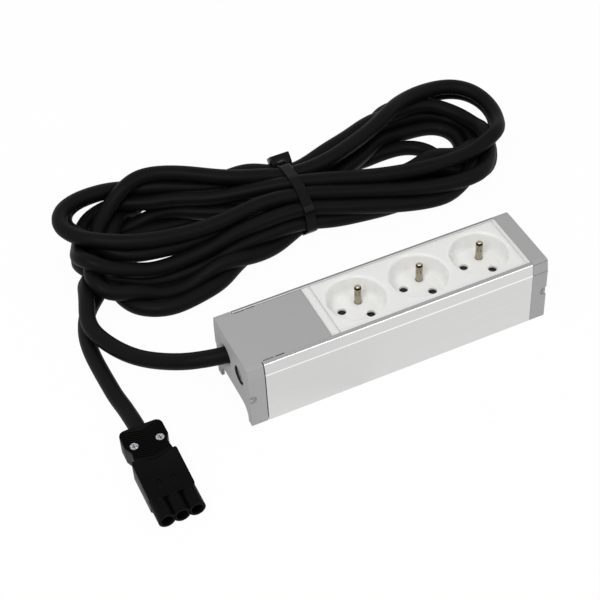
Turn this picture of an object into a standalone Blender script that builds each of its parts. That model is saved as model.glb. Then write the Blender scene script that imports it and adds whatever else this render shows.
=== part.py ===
"""Three-gang power block with earth-pin sockets in an aluminium channel, on a tied cord with a connector.

The origin is at the bottom centre of the block, +X towards the plain end cap, -Y to the front, +Z up.
All sizes are in metres.
"""

import math

import bmesh
import bpy
from mathutils import Matrix, Vector

GAP = 0.0003
OVERLAP = 0.0004

# The block's section
LIP_WIDTH = 0.00305
LIP_FALL = 0.0005
SIDE_LEAN = 0.0012
LEAN_HEIGHT = 0.0088
FOOT_ROUND = 0.0010
PROFILE_WALL = 0.0018
PROFILE_FLOOR = 0.0020
LIP_THICKNESS = 0.0016
RAIL_HEIGHT = 0.0117
RAIL_THICKNESS = 0.0014
RAIL_REACH = 0.0018
PORT_RADIUS = 0.00135
PORT_OUTER_RADIUS = 0.0029
PORT_SLOT = 0.0012

# Lengths along the block
WIRING_LENGTH = 0.0484
HEAD_LENGTH = 0.0117
CAP_LENGTH = 0.0111
LEFT_STRIP = 0.0059
RIGHT_STRIP = 0.0026

# Sockets
SOCKET_COUNT = 3
RECESS_SPACING = 0.0032
SOCKET_TURN = math.radians(32)
FACE_MARGIN = 0.00245
FACE_THICKNESS = 0.0030
FLANGE_REACH = 0.0011
RECESS_RADIUS = 0.0194
RECESS_DRAFT = 0.0005
RECESS_DEPTH = 0.0140
RECESS_FLOOR = 0.0020
RECESS_WALL = 0.0017
RIM_ROUND = 0.0015
FLOOR_ROUND = 0.0045
CONTACT_SPACING = 0.019
CONTACT_HOLE_RADIUS = 0.0030
EARTH_PIN_OFFSET = 0.010
EARTH_PIN_RADIUS = 0.0024
EARTH_PIN_REACH = 0.0140
FOOT_RING_RADIUS = 0.0033
FOOT_RING_HEIGHT = 0.0006

# Socket base, contact plate, shutters and contacts
BASE_FLOOR = 0.0018
BASE_DEPTH = 0.0157
BASE_WALL = 0.0016
RIB_WALL = 0.0012
PLATE_THICKNESS = 0.0015
SPRING_SPACE = 0.0033
SHUTTER_THICKNESS = 0.0022
SHUTTER_HUB_RADIUS = 0.0050
SHUTTER_WING_RADIUS = 0.0130
SHUTTER_WING_ANGLE = math.radians(21)
SHUTTER_RAMP = 0.0012
POST_RADIUS = 0.0014
POST_STEP_RADIUS = 0.0020
SPRING_RADIUS = 0.0028
SPRING_WIRE_RADIUS = 0.00022
SPRING_PITCH = 0.0007
SPRING_TURNS = 3
BUS_THICKNESS = 0.0008
BUS_WIDTH = 0.0046
EARTH_BUS_WIDTH = 0.0036
EARTH_BUS_Y = 0.0125
CLIP_LENGTH = 0.0050
CLIP_WALL = 0.0007
PIN_SHANK_RADIUS = 0.0016

# Covers
COVER_WALL = 0.0020
END_WALL = 0.0022
BULKHEAD = 0.0016
NOTCH_RADIUS = 0.0036
NOTCH_DEPTH = 0.0014
NOTCH_HEIGHT = 0.0240
STUB_RADIUS = 0.0010
ARCH_HALF_WIDTH = 0.0222
ARCH_HEIGHT = 0.0120
ARCH_ROUND = 0.0085
LATCH_LENGTH = 0.0070
LATCH_WIDTH = 0.0009
SPIGOT_LENGTH = 0.0050
SPIGOT_THICKNESS = 0.0014
CAP_SCREW_RADIUS = 0.0011
CAP_SCREW_HEAD = 0.0024

# Wiring compartment
CARRIER_FLOOR = 0.0016
TERMINAL_WIDTH = 0.0058
TERMINAL_HEIGHT = 0.0084
TERMINAL_DEPTH = 0.0060
TERMINAL_SCREW_RADIUS = 0.0013
WIRE_RADIUS = 0.0012
SADDLE_LENGTH = 0.0100
SADDLE_HALF_WIDTH = 0.0110
CLAMP_THICKNESS = 0.0045

# Cord
CORD_RADIUS = 0.0052
CORD_HOLE_RADIUS = 0.0061
CORD_HOLE_Y = 0.010
CORD_HOLE_HEIGHT = 0.0313
MOUTH_RADIUS = 0.0086
MOUTH_DEPTH = 0.0014
HANK_HEIGHT = 0.042
WAIST_LOW_Y = 0.1090
WAIST_HIGH_Y = 0.1670
WAIST_ROUND = 0.0130
TIE_X = 0.0
TIE_WIDTH = 0.0078
TIE_THICKNESS = 0.0012

# Connector on the cord's far end
CONNECTOR_X = -0.1750
CONNECTOR_BACK = -0.0060
CONNECTOR_SPLIT = -0.0300
CONNECTOR_FRONT = -0.0640
CONNECTOR_HEIGHT = 0.0160
CONNECTOR_WIDTH = 0.0304
HOUSING_WIDTH = 0.0290
HOUSING_NECK_WIDTH = 0.0240
HOUSING_NECK_Y = -0.0258
HOUSING_CORNER = 0.0045
TUBE_PITCH = 0.0097
TUBE_RADIUS = 0.0056
TUBE_BORE = 0.0036
TUBE_LENGTH = 0.0140
TUBE_DEPTH = 0.0190
CONTACT_RADIUS = 0.0022
CONTACT_BORE = 0.0016
RIB_PITCH = 0.0022
RIB_DEPTH = 0.0005
CONNECTOR_SCREW_SPACING = 0.0172
CONNECTOR_SCREW_Y = -0.0210
CONNECTOR_SCREW_HEAD = 0.0027

# Places worked out from the sizes above
SOCKET_PITCH = 2 * (RECESS_RADIUS + RIM_ROUND) + RECESS_SPACING
SOCKETS_LENGTH = LEFT_STRIP + SOCKET_COUNT * SOCKET_PITCH + RIGHT_STRIP
PROFILE_LENGTH = WIRING_LENGTH + SOCKETS_LENGTH + GAP
BLOCK_LENGTH = HEAD_LENGTH + PROFILE_LENGTH + CAP_LENGTH
LEFT_END = -BLOCK_LENGTH / 2
RIGHT_END = BLOCK_LENGTH / 2
PROFILE_LEFT = LEFT_END + HEAD_LENGTH
PROFILE_RIGHT = RIGHT_END - CAP_LENGTH
BASE_RIGHT = PROFILE_RIGHT - GAP
FACE_RIGHT = BASE_RIGHT - RIGHT_STRIP
FACE_LEFT = FACE_RIGHT - SOCKET_COUNT * SOCKET_PITCH
BASE_LEFT = FACE_LEFT - LEFT_STRIP
BASE_BOTTOM = RAIL_HEIGHT + GAP
BASE_DECK = BASE_BOTTOM + BASE_DEPTH
PLATE_BOTTOM = BASE_DECK + GAP
PLATE_TOP = PLATE_BOTTOM + PLATE_THICKNESS
SHUTTER_BOTTOM = PLATE_TOP + SPRING_SPACE
SHUTTER_TOP = SHUTTER_BOTTOM + SHUTTER_THICKNESS
CUP_BOTTOM = SHUTTER_TOP + GAP
RECESS_BOTTOM = CUP_BOTTOM + RECESS_FLOOR
TOP_HEIGHT = RECESS_BOTTOM + RECESS_DEPTH
EDGE_HEIGHT = TOP_HEIGHT - LIP_FALL
BEND_HEIGHT = EDGE_HEIGHT - LEAN_HEIGHT
FACE_WIDTH = 2 * (RECESS_RADIUS + RIM_ROUND + FACE_MARGIN)
EDGE_WIDTH = FACE_WIDTH + 2 * LIP_WIDTH
BLOCK_WIDTH = EDGE_WIDTH + 2 * SIDE_LEAN
FLANGE_HALF = FACE_WIDTH / 2 + FLANGE_REACH
LIP_UNDERSIDE = TOP_HEIGHT - LIP_THICKNESS
FLANGE_TOP = LIP_UNDERSIDE - GAP
FACE_BOTTOM = TOP_HEIGHT - FACE_THICKNESS
BUS_BOTTOM = BASE_BOTTOM + BASE_FLOOR + GAP
BUS_TOP = BUS_BOTTOM + BUS_THICKNESS
EARTH_BUS_TOP = BASE_DECK - 0.0005
EARTH_BUS_BOTTOM = EARTH_BUS_TOP - BUS_THICKNESS
PORT_Y = BLOCK_WIDTH / 2 - PROFILE_WALL - PORT_OUTER_RADIUS
PORT_Z = PROFILE_FLOOR + PORT_OUTER_RADIUS
CONTACT_X = CONTACT_SPACING / 2 * math.cos(SOCKET_TURN)
CONTACT_Y = CONTACT_SPACING / 2 * math.sin(SOCKET_TURN)
PIN_X = EARTH_PIN_OFFSET * math.sin(SOCKET_TURN)
PIN_Y = EARTH_PIN_OFFSET * math.cos(SOCKET_TURN)
SOCKET_CENTRES = [FACE_LEFT + SOCKET_PITCH * (i + 0.5) for i in range(SOCKET_COUNT)]
CARRIER_RIGHT = BASE_LEFT - 0.0020
TERMINAL_X = CARRIER_RIGHT - 0.0020 - TERMINAL_DEPTH / 2
SADDLE_RIGHT = PROFILE_LEFT + 0.0020 + SADDLE_LENGTH
CONNECTOR_AXIS_Z = CONNECTOR_HEIGHT / 2
TERMINALS = [
    ("live", CONTACT_Y, BUS_BOTTOM),
    ("neutral", -CONTACT_Y, BUS_BOTTOM),
    ("earth", EARTH_BUS_Y, EARTH_BUS_BOTTOM),
]

PARTS = bpy.data.collections.new("power_block")
CUTTERS = bpy.data.collections.new("cutters")

# Base colour, roughness and metallic of each finish
ANODISED = ("anodised_aluminium", (0.62, 0.62, 0.61), 0.42, 0.9)
GREY_PLASTIC = ("grey_plastic", (0.35, 0.35, 0.35), 0.45, 0.0)
WHITE_PLASTIC = ("white_plastic", (0.80, 0.80, 0.77), 0.35, 0.0)
DARK_PLASTIC = ("dark_plastic", (0.05, 0.05, 0.05), 0.5, 0.0)
BLACK_PLASTIC = ("black_plastic", (0.012, 0.012, 0.013), 0.4, 0.0)
BLACK_SHEATH = ("black_sheath", (0.010, 0.010, 0.010), 0.5, 0.0)
NICKEL = ("nickel_plate", (0.60, 0.57, 0.50), 0.25, 1.0)
BRASS = ("brass", (0.62, 0.45, 0.18), 0.3, 1.0)
ZINC_STEEL = ("zinc_steel", (0.60, 0.60, 0.60), 0.35, 1.0)
WIRE_FINISHES = {
    "live": ("brown_insulation", (0.12, 0.05, 0.02), 0.5, 0.0),
    "neutral": ("blue_insulation", (0.03, 0.10, 0.40), 0.5, 0.0),
    "earth": ("green_insulation", (0.12, 0.35, 0.05), 0.5, 0.0),
}


def clear_scene():
    for old in list(bpy.data.objects):
        bpy.data.objects.remove(old, do_unlink=True)
    for collection in (PARTS, CUTTERS):
        bpy.context.scene.collection.children.link(collection)


def material(finish):
    name, colour, roughness, metallic = finish
    made = bpy.data.materials.new(name)
    made.use_nodes = True
    shader = made.node_tree.nodes["Principled BSDF"]
    shader.inputs["Base Color"].default_value = (*colour, 1)
    shader.inputs["Roughness"].default_value = roughness
    shader.inputs["Metallic"].default_value = metallic
    return made


def piece(name, mesh, finish):
    made = bpy.data.objects.new(name, mesh)
    PARTS.objects.link(made)
    mesh.materials.clear()
    mesh.materials.append(material(finish))
    return made


def smooth(mesh, angle=35):
    mesh.shade_smooth()
    mesh.set_sharp_from_angle(angle=math.radians(angle))


def as_helper(made):
    """Moves a cutter, or a solid that is joined to another, out of the object's own collection."""
    for collection in list(made.users_collection):
        collection.objects.unlink(made)
    CUTTERS.objects.link(made)
    made.hide_render = True
    made.display_type = "WIRE"
    return made


def boolean(target, other, operation):
    step = target.modifiers.new(operation.lower(), "BOOLEAN")
    step.operation = operation
    step.object = as_helper(other)
    step.solver = "EXACT"


def cut(target, *others):
    for other in others:
        boolean(target, other, "DIFFERENCE")


def join(target, *others):
    for other in others:
        boolean(target, other, "UNION")


def round_edges(target, width, segments=2):
    step = target.modifiers.new("rounded edges", "BEVEL")
    step.width = width
    step.segments = segments
    step.limit_method = "ANGLE"
    step.angle_limit = math.radians(30)


def together(name, pieces):
    """One object from several separate solids."""
    shape = bmesh.new()
    for one in pieces:
        shape.from_mesh(one.data)
    first = pieces[0]
    shape.to_mesh(first.data)
    shape.free()
    for other in pieces[1:]:
        bpy.data.objects.remove(other)
    first.name = name
    return first


def meshed(curve, name):
    """The mesh of a curve, with its caps welded to its sides."""
    holder = bpy.data.objects.new(name, curve)
    bpy.context.scene.collection.objects.link(holder)
    graph = bpy.context.evaluated_depsgraph_get()
    mesh = bpy.data.meshes.new_from_object(holder.evaluated_get(graph))
    bpy.data.objects.remove(holder)
    shape = bmesh.new()
    shape.from_mesh(mesh)
    bmesh.ops.remove_doubles(shape, verts=shape.verts, dist=0.000001)
    bmesh.ops.recalc_face_normals(shape, faces=shape.faces)
    shape.to_mesh(mesh)
    shape.free()
    return mesh


def prism(name, outlines, low, high, axis="X", finish=GREY_PLASTIC):
    """Outlines extruded from low to high: (y, z) points along X, (x, z) along Y or (x, y) along Z.

    An outline inside another one is a hole.
    """
    curve = bpy.data.curves.new(name, "CURVE")
    curve.dimensions = "2D"
    curve.fill_mode = "BOTH"
    curve.extrude = (high - low) / 2
    for outline in outlines:
        line = curve.splines.new("POLY")
        line.points.add(len(outline) - 1)
        for point, (u, v) in zip(line.points, outline):
            point.co = (u, v, 0, 1)
        line.use_cyclic_u = True
    mesh = meshed(curve, name)
    middle = (low + high) / 2
    for vertex in mesh.vertices:
        u, v, w = vertex.co
        places = {"X": (w + middle, u, v), "Y": (u, w + middle, v), "Z": (u, v, w + middle)}
        vertex.co = places[axis]
    if axis == "Y":
        mesh.flip_normals()
    return piece(name, mesh, finish)


def tube(name, points, radius, finish, resolution=2):
    curve = bpy.data.curves.new(name, "CURVE")
    curve.dimensions = "3D"
    curve.bevel_depth = radius
    curve.bevel_resolution = resolution
    curve.use_fill_caps = True
    line = curve.splines.new("POLY")
    line.points.add(len(points) - 1)
    for point, place in zip(line.points, points):
        point.co = (*place, 1)
    mesh = meshed(curve, name)
    smooth(mesh, 50)
    return piece(name, mesh, finish)


def box(name, low, high, finish=GREY_PLASTIC):
    shape = bmesh.new()
    bmesh.ops.create_cube(shape, size=1)
    low, high = Vector(low), Vector(high)
    for vertex in shape.verts:
        vertex.co = vertex.co * (high - low) + (low + high) / 2
    mesh = bpy.data.meshes.new(name)
    shape.to_mesh(mesh)
    shape.free()
    return piece(name, mesh, finish)


def rod(name, start, end, radius, end_radius=None, sides=24, finish=GREY_PLASTIC):
    """A cylinder, or a cone frustum, between two points."""
    start, end = Vector(start), Vector(end)
    run = end - start
    last = radius if end_radius is None else end_radius
    shape = bmesh.new()
    bmesh.ops.create_cone(shape, cap_ends=True, segments=sides, radius1=radius, radius2=last, depth=run.length)
    mesh = bpy.data.meshes.new(name)
    shape.to_mesh(mesh)
    shape.free()
    turn = Vector((0, 0, 1)).rotation_difference(run).to_matrix().to_4x4()
    mesh.transform(Matrix.Translation((start + end) / 2) @ turn)
    smooth(mesh)
    return piece(name, mesh, finish)


def turned(name, profile, centre, finish=GREY_PLASTIC, steps=40, axis="Z"):
    """(radius, height) points, from the axis back to the axis, turned about an axis along Z or X."""
    shape = bmesh.new()
    rings = []
    for radius, z in profile:
        if radius == 0:
            rings.append([shape.verts.new((0, 0, z))] * steps)
            continue
        angles = [2 * math.pi * i / steps for i in range(steps)]
        rings.append([shape.verts.new((radius * math.cos(a), radius * math.sin(a), z)) for a in angles])
    for one, two in zip(rings, rings[1:]):
        for i in range(steps):
            j = (i + 1) % steps
            corners = [one[i], one[j], two[j], two[i]]
            shape.faces.new(list(dict.fromkeys(corners)))
    bmesh.ops.recalc_face_normals(shape, faces=shape.faces)
    mesh = bpy.data.meshes.new(name)
    shape.to_mesh(mesh)
    shape.free()
    if axis == "X":
        mesh.transform(Matrix.Translation((0, *centre)) @ Matrix.Rotation(math.radians(90), 4, "Y"))
    else:
        mesh.transform(Matrix.Translation((*centre, 0)))
    smooth(mesh)
    return piece(name, mesh, finish)


def arc(centre, radius, start, end, steps=6):
    """Points on an arc from one angle to another, in degrees."""
    angles = [math.radians(start + (end - start) * i / steps) for i in range(steps + 1)]
    return [(centre[0] + radius * math.cos(a), centre[1] + radius * math.sin(a)) for a in angles]


def mirrored(half):
    """A whole outline from the points on its +Y side."""
    return half + [(-u, v) for u, v in reversed(half)]


def smooth_path(points, spacing, closed=False):
    """A smooth curve through the points, cut into even steps."""
    points = [Vector(point) for point in points]
    if closed:
        ring = [points[-1]] + points + points[:2]
    else:
        ring = [2 * points[0] - points[1]] + points + [2 * points[-1] - points[-2]]
    fine = []
    for a, b, c, d in zip(ring, ring[1:], ring[2:], ring[3:]):
        for i in range(20):
            t = i / 20
            fine.append(b + t / 2 * (c - a + t * (2 * a - 5 * b + 4 * c - d + t * (3 * (b - c) + d - a))))
    fine.append(points[0] if closed else points[-1])
    reach = [0]
    for one, two in zip(fine, fine[1:]):
        reach.append(reach[-1] + (two - one).length)
    count = round(reach[-1] / spacing)
    wanted = [reach[-1] * i / count for i in range(count if closed else count + 1)]
    path = []
    place = 0
    for distance in wanted:
        while place < len(reach) - 2 and reach[place + 1] < distance:
            place += 1
        share = (distance - reach[place]) / (reach[place + 1] - reach[place])
        path.append(fine[place].lerp(fine[place + 1], share))
    return path


def block_outline():
    half = BLOCK_WIDTH / 2
    return mirrored([
        (half - FOOT_ROUND, 0),
        (half - FOOT_ROUND * 0.3, FOOT_ROUND * 0.3),
        (half, FOOT_ROUND),
        (half, BEND_HEIGHT),
        (EDGE_WIDTH / 2, EDGE_HEIGHT - 0.0003),
        (EDGE_WIDTH / 2 - 0.0003, EDGE_HEIGHT),
        (FACE_WIDTH / 2 + 0.0001, TOP_HEIGHT),
    ])


def cavity_outline(wall, low):
    half = BLOCK_WIDTH / 2 - wall
    return mirrored([
        (half, low),
        (half, BEND_HEIGHT - wall * 0.1),
        (EDGE_WIDTH / 2 - wall, EDGE_HEIGHT - wall - 0.0004),
        (FACE_WIDTH / 2 - wall, TOP_HEIGHT - wall),
    ])


def insert_outline(bottom):
    """The section of the pieces that slide in between the lips."""
    half = FACE_WIDTH / 2
    return mirrored([
        (FLANGE_HALF, bottom),
        (FLANGE_HALF, FLANGE_TOP),
        (half, FLANGE_TOP),
        (half, TOP_HEIGHT - 0.0003),
        (half - 0.0003, TOP_HEIGHT),
    ])


def aluminium_profile():
    wall = BLOCK_WIDTH / 2 - PROFILE_WALL
    edge_wall = EDGE_WIDTH / 2 - PROFILE_WALL
    lip = FACE_WIDTH / 2 + 0.0001
    outer_half = math.degrees(math.asin(PORT_SLOT / 2 / PORT_OUTER_RADIUS))
    inner_half = math.degrees(math.asin(PORT_SLOT / 2 / PORT_RADIUS))
    port = (PORT_Y, PORT_Z)
    half = BLOCK_WIDTH / 2
    outside = [
        (0, 0),
        (half - FOOT_ROUND, 0),
        (half - FOOT_ROUND * 0.3, FOOT_ROUND * 0.3),
        (half, FOOT_ROUND),
        (half, BEND_HEIGHT),
        (EDGE_WIDTH / 2, EDGE_HEIGHT - 0.0003),
        (EDGE_WIDTH / 2 - 0.0003, EDGE_HEIGHT),
        (lip, TOP_HEIGHT),
        (lip, LIP_UNDERSIDE),
    ]
    inside = [
        (edge_wall, LIP_UNDERSIDE),
        (wall, BEND_HEIGHT - 0.0003),
        (wall, RAIL_HEIGHT),
        (wall - RAIL_REACH, RAIL_HEIGHT),
        (wall - RAIL_REACH, RAIL_HEIGHT - RAIL_THICKNESS),
        (wall, RAIL_HEIGHT - RAIL_THICKNESS),
        (wall, PORT_Z + PORT_OUTER_RADIUS),
    ]
    screw_port = (
        arc(port, PORT_OUTER_RADIUS, 90, 135 - outer_half, 3)
        + arc(port, PORT_RADIUS, 135 - inner_half, -225 + inner_half, 12)
        + arc(port, PORT_OUTER_RADIUS, 135 + outer_half, 180, 3)
        + [(PORT_Y - PORT_OUTER_RADIUS, PROFILE_FLOOR)]
    )
    side = outside + inside + screw_port
    whole = side + [(-u, v) for u, v in reversed(side[1:])]
    made = prism("aluminium_profile", [whole], PROFILE_LEFT + GAP, PROFILE_RIGHT - GAP, "X", ANODISED)
    smooth(made.data, 20)


def corner_notch(target, end, side):
    """A shallow round pocket in the flank at the end edge, with a moulded stub in it."""
    surface = side * BLOCK_WIDTH / 2
    bottom = surface - side * NOTCH_DEPTH
    inward = -1 if end > 0 else 1
    place = end + inward * NOTCH_RADIUS * 0.35
    cut(target, rod("notch", (place, surface + side * 0.002, NOTCH_HEIGHT), (place, bottom, NOTCH_HEIGHT),
                    NOTCH_RADIUS))
    stub = end + inward * (STUB_RADIUS + 0.0004)
    join(target, rod("stub", (stub, bottom - side * 0.0005, NOTCH_HEIGHT),
                     (stub, surface - side * 0.0003, NOTCH_HEIGHT), STUB_RADIUS, sides=16))


def left_cover():
    """Top plate of the wiring compartment and end head, in one moulding."""
    plate = prism("left_cover", [insert_outline(FACE_BOTTOM + 0.0004)], PROFILE_LEFT - 0.0012, BASE_LEFT - GAP)
    head = prism("head", [block_outline()], LEFT_END, PROFILE_LEFT - GAP)
    hollow = prism("hollow", [cavity_outline(COVER_WALL, -0.002)], LEFT_END + END_WALL,
                   PROFILE_LEFT - GAP - BULKHEAD)
    round_edges(head, 0.0004)
    join(plate, head)
    cut(plate, hollow)
    arch = [(ARCH_HALF_WIDTH, -0.002)]
    arch += arc((ARCH_HALF_WIDTH - ARCH_ROUND, ARCH_HEIGHT - ARCH_ROUND), ARCH_ROUND, 0, 90, 8)
    cut(plate, prism("arch", [mirrored(arch)], LEFT_END - 0.002, LEFT_END + END_WALL + 0.001))
    for side in (-1, 1):
        y = side * CORD_HOLE_Y
        flare = MOUTH_RADIUS - CORD_HOLE_RADIUS
        mouth = [
            (0, LEFT_END - 0.001),
            (MOUTH_RADIUS, LEFT_END - 0.001),
            (MOUTH_RADIUS, LEFT_END),
            (CORD_HOLE_RADIUS + flare * 0.45, LEFT_END + MOUTH_DEPTH * 0.30),
            (CORD_HOLE_RADIUS + flare * 0.12, LEFT_END + MOUTH_DEPTH * 0.70),
            (CORD_HOLE_RADIUS, LEFT_END + MOUTH_DEPTH),
            (CORD_HOLE_RADIUS, PROFILE_LEFT + 0.001),
            (0, PROFILE_LEFT + 0.001),
        ]
        cut(plate, turned("cord_hole", mouth, (y, CORD_HOLE_HEIGHT), steps=32, axis="X"))
        inner = side * (BLOCK_WIDTH / 2 - PROFILE_WALL - GAP)
        reach = sorted((inner, inner - side * SPIGOT_THICKNESS))
        join(plate, box("spigot", (PROFILE_LEFT - GAP - 0.001, reach[0], RAIL_HEIGHT + 0.002),
                        (PROFILE_LEFT + SPIGOT_LENGTH, reach[1], BEND_HEIGHT - 0.002)))
        edge = side * FACE_WIDTH / 2
        slot = sorted((edge + side * 0.001, edge - side * LATCH_WIDTH))
        cut(plate, box("latch_slot", (PROFILE_LEFT + 0.0012, slot[0], FLANGE_TOP + 0.0004),
                       (PROFILE_LEFT + 0.0012 + LATCH_LENGTH, slot[1], TOP_HEIGHT + 0.001)))
        corner_notch(plate, LEFT_END, side)
    smooth(plate.data)


def right_end_cap():
    cap = prism("right_end_cap", [block_outline()], PROFILE_RIGHT, RIGHT_END)
    round_edges(cap, 0.0004)
    clear = PORT_Y - PORT_OUTER_RADIUS - 0.0004
    high = PORT_Z + PORT_OUTER_RADIUS + 0.0011
    half = BLOCK_WIDTH / 2 - COVER_WALL
    hollow = mirrored([
        (half, high),
        (half, BEND_HEIGHT),
        (EDGE_WIDTH / 2 - COVER_WALL, EDGE_HEIGHT - COVER_WALL - 0.0004),
    ])
    cut(cap, prism("hollow", [hollow], PROFILE_RIGHT - 0.001, RIGHT_END - END_WALL))
    cut(cap, box("low_hollow", (PROFILE_RIGHT - 0.001, -clear, COVER_WALL),
                 (RIGHT_END - END_WALL - 0.0004, clear, high + 0.001)))
    for side in (-1, 1):
        y = side * PORT_Y
        hole = [
            (0, PROFILE_RIGHT - 0.001),
            (CAP_SCREW_RADIUS + GAP, PROFILE_RIGHT - 0.001),
            (CAP_SCREW_RADIUS + GAP, RIGHT_END - 0.0016),
            (CAP_SCREW_HEAD + GAP, RIGHT_END),
            (CAP_SCREW_HEAD + GAP, RIGHT_END + 0.001),
            (0, RIGHT_END + 0.001),
        ]
        cut(cap, turned("screw_hole", hole, (y, PORT_Z), steps=16, axis="X"))
        corner_notch(cap, RIGHT_END, side)
    smooth(cap.data)


def cross_recess(target, centre, along, depth, size):
    """A cross slot in a screw head; along is the axis from the screw into the open."""
    width = size * 0.28
    for first in (0, 1):
        spans = [i for i in range(3) if along[i] == 0]
        half = Vector((size, size, size))
        half[spans[first]] = width / 2
        for i in range(3):
            if along[i] != 0:
                half[i] = depth
        middle = Vector(centre)
        cut(target, box("slot", middle - half, middle + half))


def cap_screws():
    for number, side in enumerate((-1, 1), start=1):
        y = side * PORT_Y
        screw = rod(f"cap_screw_{number}", (PROFILE_RIGHT - 0.008, y, PORT_Z), (RIGHT_END - 0.0012, y, PORT_Z),
                    CAP_SCREW_RADIUS - 0.0001, sides=12, finish=ZINC_STEEL)
        join(screw, rod("head", (RIGHT_END - 0.0014, y, PORT_Z), (RIGHT_END - GAP, y, PORT_Z),
                        CAP_SCREW_RADIUS, CAP_SCREW_HEAD - 0.0003, sides=16))
        cross_recess(screw, (RIGHT_END, y, PORT_Z), (1, 0, 0), 0.0009, 0.0013)


def recess_profile():
    """(radius, z) of the space in one socket, from the middle of its floor up past the rim."""
    wall_low = RECESS_RADIUS - RECESS_DRAFT
    floor = arc((wall_low - FLOOR_ROUND, RECESS_BOTTOM + FLOOR_ROUND), FLOOR_ROUND, -90, 0, 4)
    rim = arc((RECESS_RADIUS + RIM_ROUND, TOP_HEIGHT - RIM_ROUND), RIM_ROUND, 180, 95, 3)
    top = (RECESS_RADIUS + RIM_ROUND + 0.0002, TOP_HEIGHT + 0.0005)
    return [(0, RECESS_BOTTOM)] + floor + rim + [top, (0, TOP_HEIGHT + 0.0005)]


def cup_profile():
    radius = RECESS_RADIUS + RECESS_WALL
    corner = FLOOR_ROUND
    low = arc((radius - corner, CUP_BOTTOM + corner), corner, -90, 0, 2)
    return [(0, CUP_BOTTOM)] + low + [(radius, FACE_BOTTOM + 0.001), (0, FACE_BOTTOM + 0.001)]


def socket_face():
    face = prism("socket_face", [insert_outline(FACE_BOTTOM)], FACE_LEFT, FACE_RIGHT - GAP, "X", WHITE_PLASTIC)
    cups = [turned("cup", cup_profile(), (x, 0), steps=24) for x in SOCKET_CENTRES]
    join(face, together("cups", cups))
    recesses = [turned("recess", recess_profile(), (x, 0), steps=40) for x in SOCKET_CENTRES]
    cut(face, together("recesses", recesses))
    holes = []
    for x in SOCKET_CENTRES:
        for side in (-1, 1):
            place = (x + side * CONTACT_X, -side * CONTACT_Y)
            holes.append(rod("contact_hole", (*place, CUP_BOTTOM - 0.001), (*place, RECESS_BOTTOM + 0.001),
                             CONTACT_HOLE_RADIUS, sides=20))
        place = (x + PIN_X, PIN_Y)
        holes.append(rod("pin_hole", (*place, CUP_BOTTOM - 0.001), (*place, RECESS_BOTTOM + 0.001),
                         EARTH_PIN_RADIUS + GAP, sides=16))
    cut(face, together("holes", holes))
    smooth(face.data)


def socket_base():
    """Tray under the sockets, with ribs that part the contacts; its ends come up between the lips."""
    base = prism("socket_base", [insert_outline(BASE_BOTTOM)], BASE_LEFT, BASE_RIGHT, "X", WHITE_PLASTIC)
    inner = FLANGE_HALF - BASE_WALL
    left = FACE_LEFT - GAP
    right = FACE_RIGHT
    shelf = TOP_HEIGHT - 0.0030
    cut(base, box("above_deck", (left, -BLOCK_WIDTH, PLATE_BOTTOM - GAP), (right, BLOCK_WIDTH, TOP_HEIGHT + OVERLAP)))
    live_rib = CONTACT_Y + BUS_WIDTH / 2 + 0.0010
    earth_rib = EARTH_BUS_Y + EARTH_BUS_WIDTH / 2 + 0.0008
    spans = [
        (-inner, -live_rib - RIB_WALL),
        (-live_rib, -RIB_WALL / 2),
        (RIB_WALL / 2, live_rib),
        (live_rib + RIB_WALL, earth_rib),
        (earth_rib + RIB_WALL, inner),
    ]
    bays = []
    for low, high in spans:
        bays.append(box("bay", (left + BASE_WALL, low, BASE_BOTTOM + BASE_FLOOR),
                        (right - BASE_WALL, high, BASE_DECK + 0.01)))
    cut(base, together("bays", bays))
    tabs = []
    for x in SOCKET_CENTRES:
        place = x + PIN_X
        tabs.append(box("tab_slot", (place - 0.0034 - GAP, PIN_Y - 0.0034 - GAP, EARTH_BUS_BOTTOM - 0.0012),
                        (place + 0.0034 + GAP, EARTH_BUS_Y, BASE_DECK + 0.001)))
    cut(base, together("tab_slots", tabs))
    cut(base, box("under_strip", (BASE_LEFT - 0.001, -inner, BASE_BOTTOM - 0.001),
                  (left - 0.0003, inner, shelf)))
    slots = []
    for name, y, bottom in TERMINALS:
        half = (EARTH_BUS_WIDTH if name == "earth" else BUS_WIDTH) / 2 + GAP
        slots.append(box("bar_slot", (BASE_LEFT - 0.002, y - half, bottom - GAP),
                         (left + BASE_WALL + 0.001, y + half, bottom + BUS_THICKNESS + GAP)))
    cut(base, together("bar_slots", slots))


def contact_plate():
    """Covers the contacts and carries the shutters on its posts."""
    half = FLANGE_HALF
    plate = box("contact_plate", (FACE_LEFT, -half, PLATE_BOTTOM), (FACE_RIGHT - GAP, half, PLATE_TOP), DARK_PLASTIC)
    posts = []
    holes = []
    for x in SOCKET_CENTRES:
        posts.append(turned("post", [
            (0, PLATE_TOP - OVERLAP), (POST_STEP_RADIUS, PLATE_TOP - OVERLAP),
            (POST_STEP_RADIUS, SHUTTER_BOTTOM - GAP), (POST_RADIUS, SHUTTER_BOTTOM - GAP),
            (POST_RADIUS, SHUTTER_TOP), (0, SHUTTER_TOP)], (x, 0), steps=16))
        for side in (-1, 1):
            place = (x + side * CONTACT_X, -side * CONTACT_Y)
            holes.append(rod("hole", (*place, PLATE_BOTTOM - 0.001), (*place, PLATE_TOP + 0.001),
                             CONTACT_HOLE_RADIUS, sides=16))
        place = (x + PIN_X, PIN_Y)
        holes.append(rod("hole", (*place, PLATE_BOTTOM - 0.001), (*place, PLATE_TOP + 0.001),
                         EARTH_PIN_RADIUS + GAP, sides=16))
    join(plate, together("posts", posts))
    cut(plate, together("plate_holes", holes))
    smooth(plate.data)


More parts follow.
